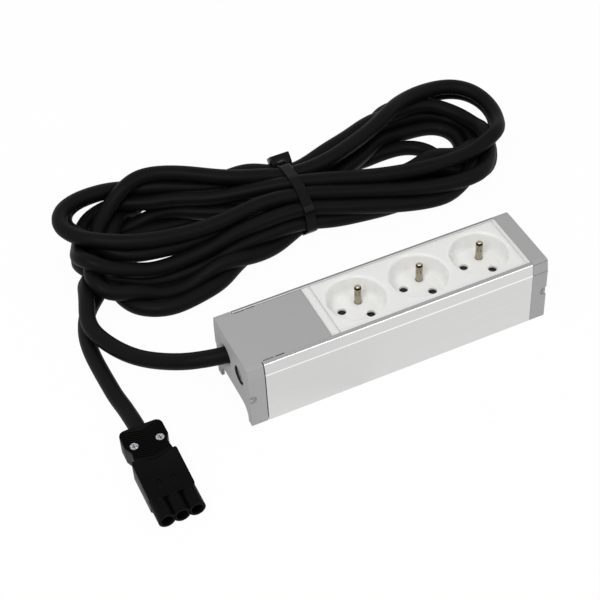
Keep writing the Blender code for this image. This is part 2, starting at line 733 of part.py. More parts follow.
def shutter(number, x):
    """Rotor with two wings that close the contact holes; ramps let both pins push it aside together."""
    wing = math.degrees(SHUTTER_WING_ANGLE)
    hub = 40
    first = -math.degrees(SOCKET_TURN)
    outline = []
    for middle in (first, first + 180):
        outline += arc((0, 0), SHUTTER_WING_RADIUS, middle - wing, middle + wing, 6)
        outline += arc((0, 0), SHUTTER_HUB_RADIUS, middle + hub, middle + 180 - hub, 6)
    bore = arc((0, 0), POST_RADIUS + GAP, 0, 337.5, 15)
    made = prism(f"shutter_{number}", [outline, bore], SHUTTER_BOTTOM, SHUTTER_TOP, "Z", DARK_PLASTIC)
    wedges = []
    for middle in (first, first + 180):
        angle = math.radians(middle + wing)
        out = Vector((math.cos(angle), math.sin(angle), 0))
        across = Vector((-math.sin(angle), math.cos(angle), 0))
        wedge = box("ramp", (-0.0045, -SHUTTER_RAMP, -SHUTTER_RAMP), (0.0060, SHUTTER_RAMP, SHUTTER_RAMP))
        axes = Matrix((out, across, (0, 0, 1))).transposed().to_4x4()
        place = out * (SHUTTER_HUB_RADIUS + 0.0070) + Vector((0, 0, SHUTTER_TOP)) + across * 0.0002
        wedge.data.transform(Matrix.Translation(place) @ axes @ Matrix.Rotation(math.radians(45), 4, "X"))
        wedges.append(wedge)
    ramps = together("ramps", wedges)
    cut(made, ramps)
    made.location = (x, 0, 0)
    ramps.location = (x, 0, 0)
    smooth(made.data)


def shutter_spring(number, x):
    steps = 12
    points = []
    low = PLATE_TOP + SPRING_WIRE_RADIUS + GAP / 2
    for i in range(SPRING_TURNS * steps + 1):
        angle = 2 * math.pi * i / steps
        points.append((x + SPRING_RADIUS * math.cos(angle), SPRING_RADIUS * math.sin(angle),
                       low + SPRING_PITCH * i / steps))
    tube(f"shutter_spring_{number}", points, SPRING_WIRE_RADIUS, ZINC_STEEL, 1)


def earth_pin(number, x):
    reach = RECESS_BOTTOM + EARTH_PIN_REACH
    radius = EARTH_PIN_RADIUS
    dome = [(radius * u, reach + radius * 0.8 * (v - 1)) for u, v in arc((0, 0), 1, 0, 90, 5)]
    profile = [
        (0, EARTH_BUS_BOTTOM - 0.0008),
        (0.0024, EARTH_BUS_BOTTOM - 0.0008),
        (0.0024, EARTH_BUS_BOTTOM - GAP),
        (PIN_SHANK_RADIUS, EARTH_BUS_BOTTOM - GAP),
        (PIN_SHANK_RADIUS, EARTH_BUS_TOP + GAP),
        (radius, EARTH_BUS_TOP + GAP),
        (radius, RECESS_BOTTOM + GAP),
        (FOOT_RING_RADIUS, RECESS_BOTTOM + GAP),
        (FOOT_RING_RADIUS, RECESS_BOTTOM + GAP + FOOT_RING_HEIGHT),
        (radius, RECESS_BOTTOM + GAP + FOOT_RING_HEIGHT),
    ] + dome[:-1] + [(0, reach)]
    turned(f"earth_pin_{number}", profile, (x + PIN_X, PIN_Y), NICKEL, steps=20)


BAR_END = TERMINAL_X - TERMINAL_DEPTH / 2 - 0.0004


def contact_bar(name, side, y):
    """Strip with a pair of spring leaves under each contact hole."""
    half = BUS_WIDTH / 2
    last = SOCKET_CENTRES[-1] + side * CONTACT_X + CLIP_LENGTH
    bar = box(f"{name}_bar", (BAR_END, y - half, BUS_BOTTOM), (last, y + half, BUS_TOP), BRASS)
    waist = 0.0016
    tall = EARTH_BUS_BOTTOM - 0.0014
    leaf = [
        (half - 0.00002, BUS_TOP - OVERLAP), (half - 0.00002, tall - 0.0050), (waist + CLIP_WALL, tall - 0.0018),
        (half, tall), (half - CLIP_WALL, tall), (waist, tall - 0.0018), (half - CLIP_WALL, tall - 0.0050),
        (half - CLIP_WALL, BUS_TOP - OVERLAP),
    ]
    clips = []
    for x in SOCKET_CENTRES:
        middle = x + side * CONTACT_X
        for hand in (-1, 1):
            outline = [(y + hand * u, v) for u, v in leaf]
            clips.append(prism("leaf", [outline], middle - CLIP_LENGTH / 2, middle + CLIP_LENGTH / 2))
    join(bar, together("leaves", clips))


def earth_bar():
    """Strip beside the contacts, with a tab under each earth pin."""
    half = EARTH_BUS_WIDTH / 2
    last = SOCKET_CENTRES[-1] + PIN_X + 0.0040
    outline = [(BAR_END, EARTH_BUS_Y + half), (BAR_END, EARTH_BUS_Y - half)]
    holes = []
    for x in SOCKET_CENTRES:
        place = x + PIN_X
        outline += [
            (place - 0.0034, EARTH_BUS_Y - half), (place - 0.0034, PIN_Y - 0.0034),
            (place + 0.0034, PIN_Y - 0.0034), (place + 0.0034, EARTH_BUS_Y - half),
        ]
        holes.append(arc((place, PIN_Y), PIN_SHANK_RADIUS + GAP, 0, 337.5, 15))
    outline += [(last, EARTH_BUS_Y - half), (last, EARTH_BUS_Y + half)]
    prism("earth_bar", [outline] + holes, EARTH_BUS_BOTTOM, EARTH_BUS_TOP, "Z", BRASS)


def terminal_floor(bottom):
    """Height of the underside of a brass clamp whose bar lies at this height."""
    return bottom - 2 * WIRE_RADIUS - 0.0018


def terminal_carrier():
    """Moulding on the channel's floor with the terminal block and the saddle for the cord."""
    low = PROFILE_FLOOR + GAP
    wide = PORT_Y - PORT_OUTER_RADIUS - 0.0010
    left = SADDLE_RIGHT - SADDLE_LENGTH
    carrier = box("terminal_carrier", (left, -wide, low), (CARRIER_RIGHT, wide, low + CARRIER_FLOOR), GREY_PLASTIC)
    half_depth = TERMINAL_DEPTH / 2
    pockets = []
    entries = []
    for name, y, bottom in TERMINALS:
        foot = terminal_floor(bottom)
        half = TERMINAL_WIDTH / 2 + GAP
        pockets.append(box("pocket", (TERMINAL_X - half_depth - GAP, y - half, foot - GAP),
                           (TERMINAL_X + half_depth + GAP, y + half, TOP_HEIGHT)))
        entries.append(box("entry", (TERMINAL_X - half_depth - 0.01, y - half + 0.0006, foot + 0.0006),
                           (TERMINAL_X + half_depth + 0.01, y + half - 0.0006, bottom + BUS_THICKNESS + 0.0006)))
    first = TERMINALS[1][1] - TERMINAL_WIDTH / 2 - 0.0018
    step = (TERMINALS[0][1] + TERMINALS[2][1]) / 2
    last = TERMINALS[2][1] + TERMINAL_WIDTH / 2 + 0.0018
    x_low = TERMINAL_X - half_depth - 0.0016
    x_high = TERMINAL_X + half_depth + 0.0016
    tops = [terminal_floor(bottom) + TERMINAL_HEIGHT - 0.001 for _, _, bottom in TERMINALS]
    join(carrier, box("low_block", (x_low, first, low + OVERLAP), (x_high, step, tops[0])))
    join(carrier, box("high_block", (x_low, step - OVERLAP, low + OVERLAP), (x_high, last, tops[2])))
    saddle_low = CORD_HOLE_Y - SADDLE_HALF_WIDTH
    saddle_high = CORD_HOLE_Y + SADDLE_HALF_WIDTH
    join(carrier, box("saddle_foot", (left + 0.0002, saddle_low, low + OVERLAP),
                      (SADDLE_RIGHT, wide - 0.0005, CORD_HOLE_HEIGHT - 0.012)))
    join(carrier, box("saddle", (left + 0.0004, saddle_low + 0.0002, CORD_HOLE_HEIGHT - 0.014),
                      (SADDLE_RIGHT - 0.0002, saddle_high, CORD_HOLE_HEIGHT - 0.0016)))
    cut(carrier, together("pockets", pockets))
    cut(carrier, together("entries", entries))
    cut(carrier, rod("cradle", (left - 0.001, CORD_HOLE_Y, CORD_HOLE_HEIGHT),
                     (SADDLE_RIGHT + 0.001, CORD_HOLE_Y, CORD_HOLE_HEIGHT), CORD_RADIUS + GAP))
    for side in (-1, 1):
        x, y = clamp_screw_place(side)
        cut(carrier, rod("screw_hole", (x, y, CORD_HOLE_HEIGHT - 0.013), (x, y, CORD_HOLE_HEIGHT + 0.001),
                         TERMINAL_SCREW_RADIUS + GAP, sides=12))


def clamp_screw_place(side):
    return SADDLE_RIGHT - SADDLE_LENGTH / 2, CORD_HOLE_Y + side * (SADDLE_HALF_WIDTH - 0.0026)


def clamp_screw(number, side):
    x, y = clamp_screw_place(side)
    top = CORD_HOLE_HEIGHT + 0.0016 + CLAMP_THICKNESS
    screw = rod(f"clamp_screw_{number}", (x, y, CORD_HOLE_HEIGHT - 0.012), (x, y, top + 0.0006),
                TERMINAL_SCREW_RADIUS, sides=12, finish=ZINC_STEEL)
    join(screw, rod("head", (x, y, top + GAP), (x, y, top + 0.0022), 0.0024, sides=16))
    cross_recess(screw, (x, y, top + 0.0022), (0, 0, 1), 0.0010, 0.0015)


def cord_clamp():
    left = SADDLE_RIGHT - SADDLE_LENGTH
    low = CORD_HOLE_HEIGHT + 0.0016
    bridge = box("cord_clamp", (left + 0.001, CORD_HOLE_Y - SADDLE_HALF_WIDTH + 0.0005, low),
                 (SADDLE_RIGHT - 0.001, CORD_HOLE_Y + SADDLE_HALF_WIDTH - 0.0005, low + CLAMP_THICKNESS), GREY_PLASTIC)
    join(bridge, rod("crown", (left + 0.0015, CORD_HOLE_Y, CORD_HOLE_HEIGHT),
                     (SADDLE_RIGHT - 0.0015, CORD_HOLE_Y, CORD_HOLE_HEIGHT), CORD_RADIUS + 0.0022))
    cut(bridge, rod("cradle", (left - 0.001, CORD_HOLE_Y, CORD_HOLE_HEIGHT),
                    (SADDLE_RIGHT + 0.001, CORD_HOLE_Y, CORD_HOLE_HEIGHT), CORD_RADIUS + GAP))
    cut(bridge, box("below", (left - 0.002, -BLOCK_WIDTH, 0), (SADDLE_RIGHT + 0.002, BLOCK_WIDTH, low)))
    for number, side in enumerate((-1, 1), start=1):
        x, y = clamp_screw_place(side)
        cut(bridge, rod("screw_hole", (x, y, low - 0.001), (x, y, low + 0.01), TERMINAL_SCREW_RADIUS + GAP, sides=12))
        clamp_screw(number, side)


def terminal(name, y, bottom):
    """Brass cage that holds the bar and the wire under its screw."""
    foot = terminal_floor(bottom)
    half = TERMINAL_WIDTH / 2
    deep = TERMINAL_DEPTH / 2
    top = foot + TERMINAL_HEIGHT
    cage = box(f"terminal_{name}", (TERMINAL_X - deep, y - half, foot), (TERMINAL_X + deep, y + half, top), BRASS)
    ceiling = bottom + BUS_THICKNESS + 0.0003
    cut(cage, box("window", (TERMINAL_X - deep - 0.001, y - half + 0.00045, foot + 0.0008),
                  (TERMINAL_X + deep + 0.001, y + half - 0.00045, ceiling)))
    cut(cage, rod("thread", (TERMINAL_X, y, ceiling - 0.0003), (TERMINAL_X, y, top + 0.001),
                  TERMINAL_SCREW_RADIUS + 0.00012, sides=16))
    screw = rod(f"terminal_screw_{name}", (TERMINAL_X, y, bottom + BUS_THICKNESS + 0.0001),
                (TERMINAL_X, y, top + 0.0016), TERMINAL_SCREW_RADIUS, sides=16, finish=ZINC_STEEL)
    cut(screw, box("slot", (TERMINAL_X - 0.002, y - 0.0003, top + 0.0008), (TERMINAL_X + 0.002, y + 0.0003, top + 0.003)))


def wire(name, y, bottom):
    """Insulated core from the end of the sheath to its terminal."""
    start_x = SADDLE_RIGHT + 0.0010 + GAP
    fan = {"live": (0.0, -0.0027), "neutral": (-0.0027, 0.0014), "earth": (0.0027, 0.0014)}[name]
    centre = bottom - WIRE_RADIUS - 0.0004
    start = (start_x, CORD_HOLE_Y + fan[0], CORD_HOLE_HEIGHT + fan[1])
    inner = TERMINAL_X - TERMINAL_DEPTH / 2 - 0.0018
    points = smooth_path([
        start,
        (start_x + 0.0040, start[1] + (y - start[1]) * 0.12, start[2] + (centre - start[2]) * 0.10),
        (start_x + 0.0090, start[1] + (y - start[1]) * 0.75, start[2] + (centre - start[2]) * 0.80),
        (inner, y, centre),
        (TERMINAL_X + 0.0010, y, centre),
    ], 0.0020)
    tube(f"{name}_wire", points, WIRE_RADIUS, WIRE_FINISHES[name], 1)


CORD_LEAD_ROUTE = [
    (SADDLE_RIGHT + 0.0010, CORD_HOLE_Y, CORD_HOLE_HEIGHT),
    (LEFT_END, CORD_HOLE_Y, CORD_HOLE_HEIGHT),
    (-0.1145, 0.0114, 0.0307),
    (-0.1275, 0.0195, 0.0277),
    (-0.1395, 0.0300, 0.0241),
    (-0.1500, 0.0410, 0.0206),
    (-0.1595, 0.0540, 0.0179),
    (-0.1665, 0.0680, 0.0165),
    (-0.1710, 0.0830, 0.0161),
    (-0.1715, 0.0990, 0.0161),
    (-0.1680, 0.1145, 0.0161),
    (-0.1620, 0.1300, 0.0161),
]
PLUG_LEAD_ROUTE = [
    (CONNECTOR_X, CONNECTOR_BACK - 0.0020, CONNECTOR_AXIS_Z),
    (CONNECTOR_X, CONNECTOR_BACK + 0.0060, CONNECTOR_AXIS_Z),
    (CONNECTOR_X - 0.0008, 0.0170, 0.0066),
    (-0.1776, 0.0390, 0.0053),
    (-0.1788, 0.0600, 0.0053),
    (-0.1781, 0.0830, 0.0053),
    (-0.1752, 0.0985, 0.0053),
    (-0.1696, 0.1135, 0.0053),
    (-0.1606, 0.1260, 0.0053),
    (-0.1505, 0.1385, 0.0053),
]
HANK_ROUTE = [
    (-0.1610, 0.1500), (-0.1520, 0.1840), (-0.1230, 0.2010), (-0.0860, 0.1990), (-0.0500, 0.1820),
    (-0.0180, 0.1720), (0.0, 0.1700), (0.0180, 0.1730), (0.0540, 0.1850), (0.0920, 0.2010),
    (0.1320, 0.2130), (0.1650, 0.2060), (0.1810, 0.1780), (0.1780, 0.1480), (0.1600, 0.1180),
    (0.1300, 0.0990), (0.0900, 0.0940), (0.0500, 0.0990), (0.0180, 0.1060), (0.0, 0.1075),
    (-0.0180, 0.1065), (-0.0600, 0.0960), (-0.1000, 0.0870), (-0.1340, 0.0920), (-0.1530, 0.1160),
]


def hank_outline(grown):
    path = smooth_path([(x, y, 0) for x, y in HANK_ROUTE], 0.0100, closed=True)
    outline = []
    for before, here, after in zip(path[-1:] + path[:-1], path, path[1:] + path[:1]):
        along = (after - before).normalized()
        outline.append((here.x - along.y * grown, here.y + along.x * grown))
    return outline


def rounded_rectangle(low, high, radius, steps=4):
    corners = [(high[0] - radius, high[1] - radius, 0), (low[0] + radius, high[1] - radius, 90),
               (low[0] + radius, low[1] + radius, 180), (high[0] - radius, low[1] + radius, 270)]
    points = []
    for u, v, start in corners:
        points += arc((u, v), radius, start, start + 90, steps)
    return points


def waist_outline(grown):
    low = (WAIST_LOW_Y - grown, TIE_THICKNESS + GAP - grown)
    high = (WAIST_HIGH_Y + grown, HANK_HEIGHT - TIE_THICKNESS - GAP + grown)
    return rounded_rectangle(low, high, WAIST_ROUND + grown)


def cord():
    """The cord's own solids: the stretch at the block, the tied hank and the stretch at the connector."""
    spacing = CORD_RADIUS * 4
    lead = tube("cord_lead", smooth_path(CORD_LEAD_ROUTE, spacing), CORD_RADIUS, BLACK_SHEATH)
    cut(lead, prism("hank_place", [hank_outline(GAP)], -0.001, HANK_HEIGHT + 0.001, "Z"))
    plug_lead = tube("cord_plug_lead", smooth_path(PLUG_LEAD_ROUTE, spacing), CORD_RADIUS, BLACK_SHEATH)
    cut(plug_lead, prism("hank_place", [hank_outline(GAP)], -0.001, HANK_HEIGHT + 0.001, "Z"))
    cut(plug_lead, box("connector_place", (CONNECTOR_X - 0.02, CONNECTOR_BACK - 0.02, -0.01),
                       (CONNECTOR_X + 0.02, CONNECTOR_BACK + GAP, 0.03)))
    hank = prism("cord_hank", [hank_outline(0)], 0, HANK_HEIGHT, "Z", BLACK_SHEATH)
    around = [(0.05, -0.05), (0.25, -0.05), (0.25, 0.1), (0.05, 0.1)]
    half = TIE_WIDTH / 2
    cut(hank, prism("waist", [around, waist_outline(0)], TIE_X - half - GAP, TIE_X + half + GAP))


def cable_tie():
    half = TIE_WIDTH / 2
    tie = prism("cable_tie", [waist_outline(GAP + TIE_THICKNESS), waist_outline(GAP)],
                TIE_X - half, TIE_X + half, "X", BLACK_PLASTIC)
    top = HANK_HEIGHT - OVERLAP
    head_y = WAIST_HIGH_Y - 0.0095
    join(tie, box("tie_head", (TIE_X - half + 0.0001, head_y - 0.0045, top),
                  (TIE_X + half - 0.0001, head_y + 0.0045, top + 0.0052)))


def mirrored_outline(right):
    """(x, y) outline of one half of the connector from its right side, front to back."""
    left = [(-x, y) for x, y in reversed(right)]
    return [(x + CONNECTOR_X, y) for x, y in right + left]


def body_outline(half, back, front, corner):
    return mirrored_outline([
        (half - corner, front), (half - corner * 0.3, front + corner * 0.3), (half, front + corner),
        (half, back - corner), (half - corner * 0.3, back - corner * 0.3), (half - corner, back),
    ])


def housing_outline():
    """Wide round the screws, drawn in to a neck in front of them, and rounded where the cord enters."""
    half, neck = HOUSING_WIDTH / 2, HOUSING_NECK_WIDTH / 2
    round_middle = (half - HOUSING_CORNER, CONNECTOR_BACK - HOUSING_CORNER)
    side = [(neck + 0.0008, CONNECTOR_SPLIT), (neck, HOUSING_NECK_Y), (half, HOUSING_NECK_Y + 0.0062)]
    return mirrored_outline(side + arc(round_middle, HOUSING_CORNER, 0, 90, 4))


def connector_body():
    half = CONNECTOR_WIDTH / 2
    outline = body_outline(half, CONNECTOR_SPLIT - GAP, CONNECTOR_FRONT, 0.0020)
    body = prism("connector_body", [outline], 0, CONNECTOR_HEIGHT, "Z", BLACK_PLASTIC)
    round_edges(body, 0.0018, 3)
    bores = []
    for i in (-1, 0, 1):
        x = CONNECTOR_X + i * TUBE_PITCH
        join(body, rod("tube", (x, CONNECTOR_FRONT + 0.002, CONNECTOR_AXIS_Z),
                       (x, CONNECTOR_FRONT - TUBE_LENGTH, CONNECTOR_AXIS_Z), TUBE_RADIUS))
        bores.append(rod("bore", (x, CONNECTOR_FRONT + TUBE_DEPTH, CONNECTOR_AXIS_Z),
                         (x, CONNECTOR_FRONT - TUBE_LENGTH - 0.001, CONNECTOR_AXIS_Z), TUBE_BORE, sides=20))
    cut(body, together("bores", bores))
    smooth(body.data)


def connector_contacts():
    for number, i in enumerate((-1, 0, 1), start=1):
        x = CONNECTOR_X + i * TUBE_PITCH
        start = (x, CONNECTOR_FRONT + TUBE_DEPTH - GAP, CONNECTOR_AXIS_Z)
        end = (x, CONNECTOR_FRONT - 0.002, CONNECTOR_AXIS_Z)
        contact = rod(f"connector_contact_{number}", start, end, CONTACT_RADIUS, sides=16, finish=NICKEL)
        cut(contact, rod("socket", (x, CONNECTOR_FRONT + 0.010, CONNECTOR_AXIS_Z),
                         (x, CONNECTOR_FRONT - 0.003, CONNECTOR_AXIS_Z), CONTACT_BORE, sides=16))


def connector_housing():
    """Rear half with the ribbed grip; its two screws press the cord grip inside."""
    low, top = 0.0004, CONNECTOR_HEIGHT - 0.0004
    housing = prism("connector_housing", [housing_outline()], low, top, "Z", BLACK_PLASTIC)
    round_edges(housing, 0.0016, 2)
    grooves = []
    count = int((CONNECTOR_BACK - CONNECTOR_SPLIT) / RIB_PITCH) - 2
    for i in range(count):
        y = CONNECTOR_BACK - 0.0030 - i * RIB_PITCH
        grooves.append(box("groove", (CONNECTOR_X - 0.02, y - RIB_PITCH * 0.22, top - RIB_DEPTH),
                           (CONNECTOR_X + 0.02, y + RIB_PITCH * 0.22, CONNECTOR_HEIGHT + 0.001)))
    cut(housing, together("grooves", grooves))
    for number, side in enumerate((-1, 1), start=1):
        place = (CONNECTOR_X + side * CONNECTOR_SCREW_SPACING / 2, CONNECTOR_SCREW_Y)
        cut(housing, rod("screw_well", (*place, top - 0.0022), (*place, top + 0.001), CONNECTOR_SCREW_HEAD + GAP))
        cut(housing, rod("screw_hole", (*place, 0.003), (*place, top), 0.0016, sides=12))
        screw = rod(f"connector_screw_{number}", (*place, 0.0035), (*place, top - 0.0018), 0.0013,
                    sides=12, finish=ZINC_STEEL)
        join(screw, rod("head", (*place, top - 0.0022 + GAP), (*place, top - 0.0001), CONNECTOR_SCREW_HEAD, sides=20))
        cross_recess(screw, (*place, top - 0.0001), (0, 0, 1), 0.0012, 0.0016)
    smooth(housing.data)


clear_scene()
aluminium_profile()
left_cover()
right_end_cap()
cap_screws()
socket_face()
socket_base()
contact_plate()
for index, centre in enumerate(SOCKET_CENTRES, start=1):
    shutter(index, centre)
    shutter_spring(index, centre)
    earth_pin(index, centre)
contact_bar("live", -1, CONTACT_Y)
contact_bar("neutral", 1, -CONTACT_Y)
earth_bar()
terminal_carrier()
cord_clamp()
for label, across, base_height in TERMINALS:
    terminal(label, across, base_height)
    wire(label, across, base_height)
cord()
cable_tie()
connector_body()
connector_contacts()
connector_housing()
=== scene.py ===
"""Looks of the three-socket power block: its channel, end covers, sockets, tied cord and connector."""
import math

import bpy
import numpy as np
from mathutils import Matrix, Vector


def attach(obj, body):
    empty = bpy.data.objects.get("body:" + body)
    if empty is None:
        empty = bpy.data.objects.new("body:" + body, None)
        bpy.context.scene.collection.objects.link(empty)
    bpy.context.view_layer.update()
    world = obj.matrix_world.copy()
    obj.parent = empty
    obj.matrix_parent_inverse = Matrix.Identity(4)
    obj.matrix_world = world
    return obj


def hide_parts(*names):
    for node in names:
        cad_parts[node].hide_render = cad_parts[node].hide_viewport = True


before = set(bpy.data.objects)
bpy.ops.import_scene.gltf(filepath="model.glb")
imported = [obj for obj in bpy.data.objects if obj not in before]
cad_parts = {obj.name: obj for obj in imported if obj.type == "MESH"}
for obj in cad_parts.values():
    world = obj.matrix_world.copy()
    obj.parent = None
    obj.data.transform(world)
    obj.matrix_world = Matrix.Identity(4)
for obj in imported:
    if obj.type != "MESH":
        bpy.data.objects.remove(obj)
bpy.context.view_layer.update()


# The camera stands to the left, in front of the block and above it, on a long lens, so that the
# block's lines draw together only a little.
CAMERA_PLACE = Vector((-0.31954, -0.62783, 0.74689))
CAMERA_RIGHT = Vector((0.904918, -0.423424, -0.042841))
CAMERA_DOWN = Vector((-0.327348, -0.628171, -0.705865))
CAMERA_AHEAD = Vector((0.271969, 0.652774, -0.707050))
SENSOR_WIDTH = 36.0
LENS = 92.18

camera = bpy.data.objects.new("camera", bpy.data.cameras.new("camera"))
camera.data.sensor_width = SENSOR_WIDTH
camera.data.lens = LENS
camera_turn = Matrix((CAMERA_RIGHT, -CAMERA_DOWN, -CAMERA_AHEAD)).transposed().to_4x4()
camera.matrix_world = Matrix.Translation(CAMERA_PLACE) @ camera_turn
bpy.context.scene.collection.objects.link(camera)
bpy.context.scene.camera = camera


# The cord is 5.5 m of round three-core cord in a black PVC sheath. It leaves the block's left end, runs
# round to the back, lies in a hank of seven loops to the right and six to the left, and ends in the
# connector. Its strands are laid at listed places and then pushed apart, but not all the way: where they
# touch they mostly lie 0.5 to 1.5 mm in each other, and up to 4 mm at a few crossings.
CORD_RADIUS = 0.0056
CORD_SIDES = 18
CORD_STEP = 0.0040
CORD_RING_STEP = CORD_STEP * 0.7
CORD_HELD_POINTS = 14
CORD_PRESSED = 0.00055
CORD_OVER_FLOOR = 0.0001
CURVE_SAMPLES = 24
TIE_X = 0.0
TIE_THICKNESS = 0.0012
TIE_LIFT_REACH = 0.020

# How the strands settle: for how many rounds, how often and how far each looks for its neighbours, and how
# strongly a point is drawn to its place, to the middle of its two neighbours, and to an even bend.
SETTLE_ROUNDS = 240
SEARCH_EVERY = 12
SEARCH_REACH = 0.008
SAME_STRAND_POINTS = 8
SMALLEST_GAP = 0.0003
DRAWN_TO_PLACE = 0.03
DRAWN_TO_MIDDLE = 0.06
DRAWN_TO_EVEN_BEND = 0.06
BEND_STEPS = 6

# Places on the cord in millimetres, from the block's clamp to the connector. The
# stretches between two places in the tie are the hank's left and right loops.
TIE_PLACES = {
    "back": (158, 26), "back top": (150, 33), "top": (138, 35), "front top": (126, 33), "front": (118, 27),
    "front low": (116, 17), "low front": (123, 9), "bottom": (134, 5), "low back": (145, 6),
    "back low": (154, 10), "back middle": (159, 17), "core front": (127, 20), "core": (137, 20),
    "core back": (148, 20),
}
FROM_BLOCK = [
    (-83, 10, 31.3), (-94, 10, 31.3), (-107.5, 10, 31.3), (-127, 18.5, 27.3), (-141, 30.5, 22),
    (-155, 46, 17.4), (-165, 63, 15.5), (-172, 80, 16), (-174, 93, 16), (-165.5, 115, 15.5),
    (-152, 140, 11), (-141, 165, 6), (-124, 183, 5.5), (-104, 181, 8), (-77, 168, 12), (-48, 152, 16.5),
    (-30, 140, 19),
]
RIGHT_HIGH = [
    (26, 148, 35), (64, 160, 36), (108, 183, 35), (147, 191, 31), (167, 179, 29), (172, 153, 26),
    (161, 132, 25), (138, 120, 25.5), (106, 116, 27), (75, 119, 29), (46, 125, 31), (17, 131, 34),
]
RIGHT_UNDER_HIGH = [
    (26, 158, 21), (70, 173, 22), (116, 196, 19.5), (153, 201, 17), (172, 188, 17), (177, 163, 15),
    (167, 143, 14), (144, 131, 14.5), (112, 127, 15.5), (82, 131, 16.5), (52, 138, 17.5), (19, 139, 19.5),
]
RIGHT_WIDE = [
    (14, 158, 27), (50, 165, 30), (91, 181, 28), (128, 187, 21), (145, 179, 17), (156, 158, 15.5),
    (155, 133, 15), (142, 113, 15), (116, 104, 15), (85, 107, 18), (57, 114, 23), (28, 121, 29),
    (15, 125, 31.5),
]
RIGHT_MIDDLE = [
    (42, 166, 19), (83, 183, 17), (120, 188, 14), (143, 183, 11.5), (155, 163, 9), (150, 138, 6.5),
    (133, 117, 6), (111, 108, 6.5), (84, 105, 9), (53, 107, 15), (24, 113, 21), (10, 115, 24),
]
RIGHT_FRONT = [
    (17, 134, 19.5), (49, 156, 17), (93, 177, 12), (124, 179, 9), (143, 167, 7), (142, 142, 5.5),
    (125, 121, 5.5), (99, 112, 5.5), (71, 111, 6), (39, 112, 10), (8, 113, 15),
]
RIGHT_SMALL = [
    (27, 161, 10), (60, 169, 8), (94, 170, 6), (113, 162, 5.5), (121, 144, 5.5), (110, 125, 5.5),
    (86, 121, 5.5), (58, 124, 5.5), (26, 125, 7), (11, 124, 8),
]
RIGHT_LOW = [
    (30, 160, 6), (71, 176, 9), (112, 190, 9.5), (148, 192, 7), (164, 169, 5.5), (161, 142, 5.5),
    (146, 122, 5.5), (124, 119, 5.5), (97, 129, 5.5), (68, 136, 5.5), (37, 140, 5.5), (19, 139, 5.5),
]
LEFT_LONG = [
    (-19, 166, 19), (-51, 173, 24), (-90, 189, 29), (-126, 196, 32.5), (-153, 190, 35), (-164, 171, 36),
    (-151, 149, 36), (-126, 134, 35.5), (-99, 127, 34.5), (-70, 125, 33.5), (-38, 129, 33.5),
    (-22, 130, 33.5),
]
LEFT_UNDER_LONG = [
    (-12, 167, 25), (-54, 186, 19), (-94, 202, 20), (-123, 207, 22), (-150, 200, 24.5), (-158, 180, 25.5),
    (-149, 154, 25.5), (-134, 136, 25), (-114, 130, 24), (-78, 127, 22), (-50, 130, 21), (-29, 134, 20.5),
]
LEFT_MIDDLE = [
    (-15, 145, 33), (-49, 157, 27), (-75, 170, 24), (-108, 186, 21), (-126, 192, 18), (-139, 192, 16),
    (-149, 178, 16), (-157, 152, 20.5), (-156, 127.5, 28), (-139, 123, 22.5), (-118, 120, 15.5),
    (-97, 118, 16.5), (-67, 118, 20.5), (-36, 118, 24.5), (-24, 118, 25.5),
]
LEFT_HIGH = [
    (-17, 155, 34.5), (-43, 165, 37), (-69, 182, 38.5), (-92, 192, 37.5), (-112, 191, 32), (-127, 182, 25),
    (-138, 168, 18.5), (-152, 144, 18.5), (-160, 120, 22), (-150, 110, 16.5), (-131, 106, 9), (-104, 103, 6),
    (-74, 103, 10), (-42, 109, 10.5), (-25, 113, 9.5),
]
LEFT_UNDER_MIDDLE = [
    (-14, 159, 18), (-52, 172, 15), (-92, 189, 12), (-118, 199, 9), (-137, 199, 5.5), (-150, 180, 6),
    (-156, 153, 11), (-151, 132, 12.5), (-133, 123, 8.5), (-106, 117, 7.5), (-79, 115, 11), (-49, 114, 15.5),
    (-30, 115, 16.5),
]
LEFT_LOW = [
    (-10, 168, 9), (-45, 190, 7), (-84, 208, 5.5), (-106, 194, 9), (-131, 168, 15.5), (-142, 142, 13),
    (-142, 122, 5.5), (-133, 100, 5), (-115, 90, 5), (-96, 93, 5), (-70, 103, 5), (-36, 119, 5),
    (-18, 126, 5),
]
TO_CONNECTOR = [
    (-16, 157, 5.5), (-56, 164, 5), (-100, 172, 5), (-125, 170, 5), (-140, 153, 5), (-155, 134, 5),
    (-169, 112, 5), (-178, 84, 5), (-178, 39, 6), (-176, 17, 6.8), (-175, 0, 8),
    (-175, -8, 8),
]


def in_tie(place):
    """A named place in the tie, as a stretch of one point."""
    return [(TIE_X * 1000, *TIE_PLACES[place])]


def hank_places():
    """The whole cord's places in their order, in metres."""
    order = [
        FROM_BLOCK, in_tie("core front"), RIGHT_FRONT, in_tie("front low"), LEFT_UNDER_MIDDLE[::-1],
        in_tie("core back"), RIGHT_UNDER_HIGH, in_tie("core"), LEFT_UNDER_LONG[::-1], in_tie("back"),
        RIGHT_WIDE, in_tie("front top"), LEFT_LONG[::-1], in_tie("back middle"), RIGHT_MIDDLE,
        in_tie("front"), LEFT_MIDDLE[::-1], in_tie("top"), RIGHT_HIGH[::-1], in_tie("back top"),
        LEFT_HIGH, in_tie("low front"), RIGHT_SMALL[::-1], in_tie("back low"), LEFT_LOW,
        in_tie("bottom"), RIGHT_LOW[::-1], in_tie("low back"), TO_CONNECTOR,
    ]
    return np.array([place for stretch in order for place in stretch], float) / 1000


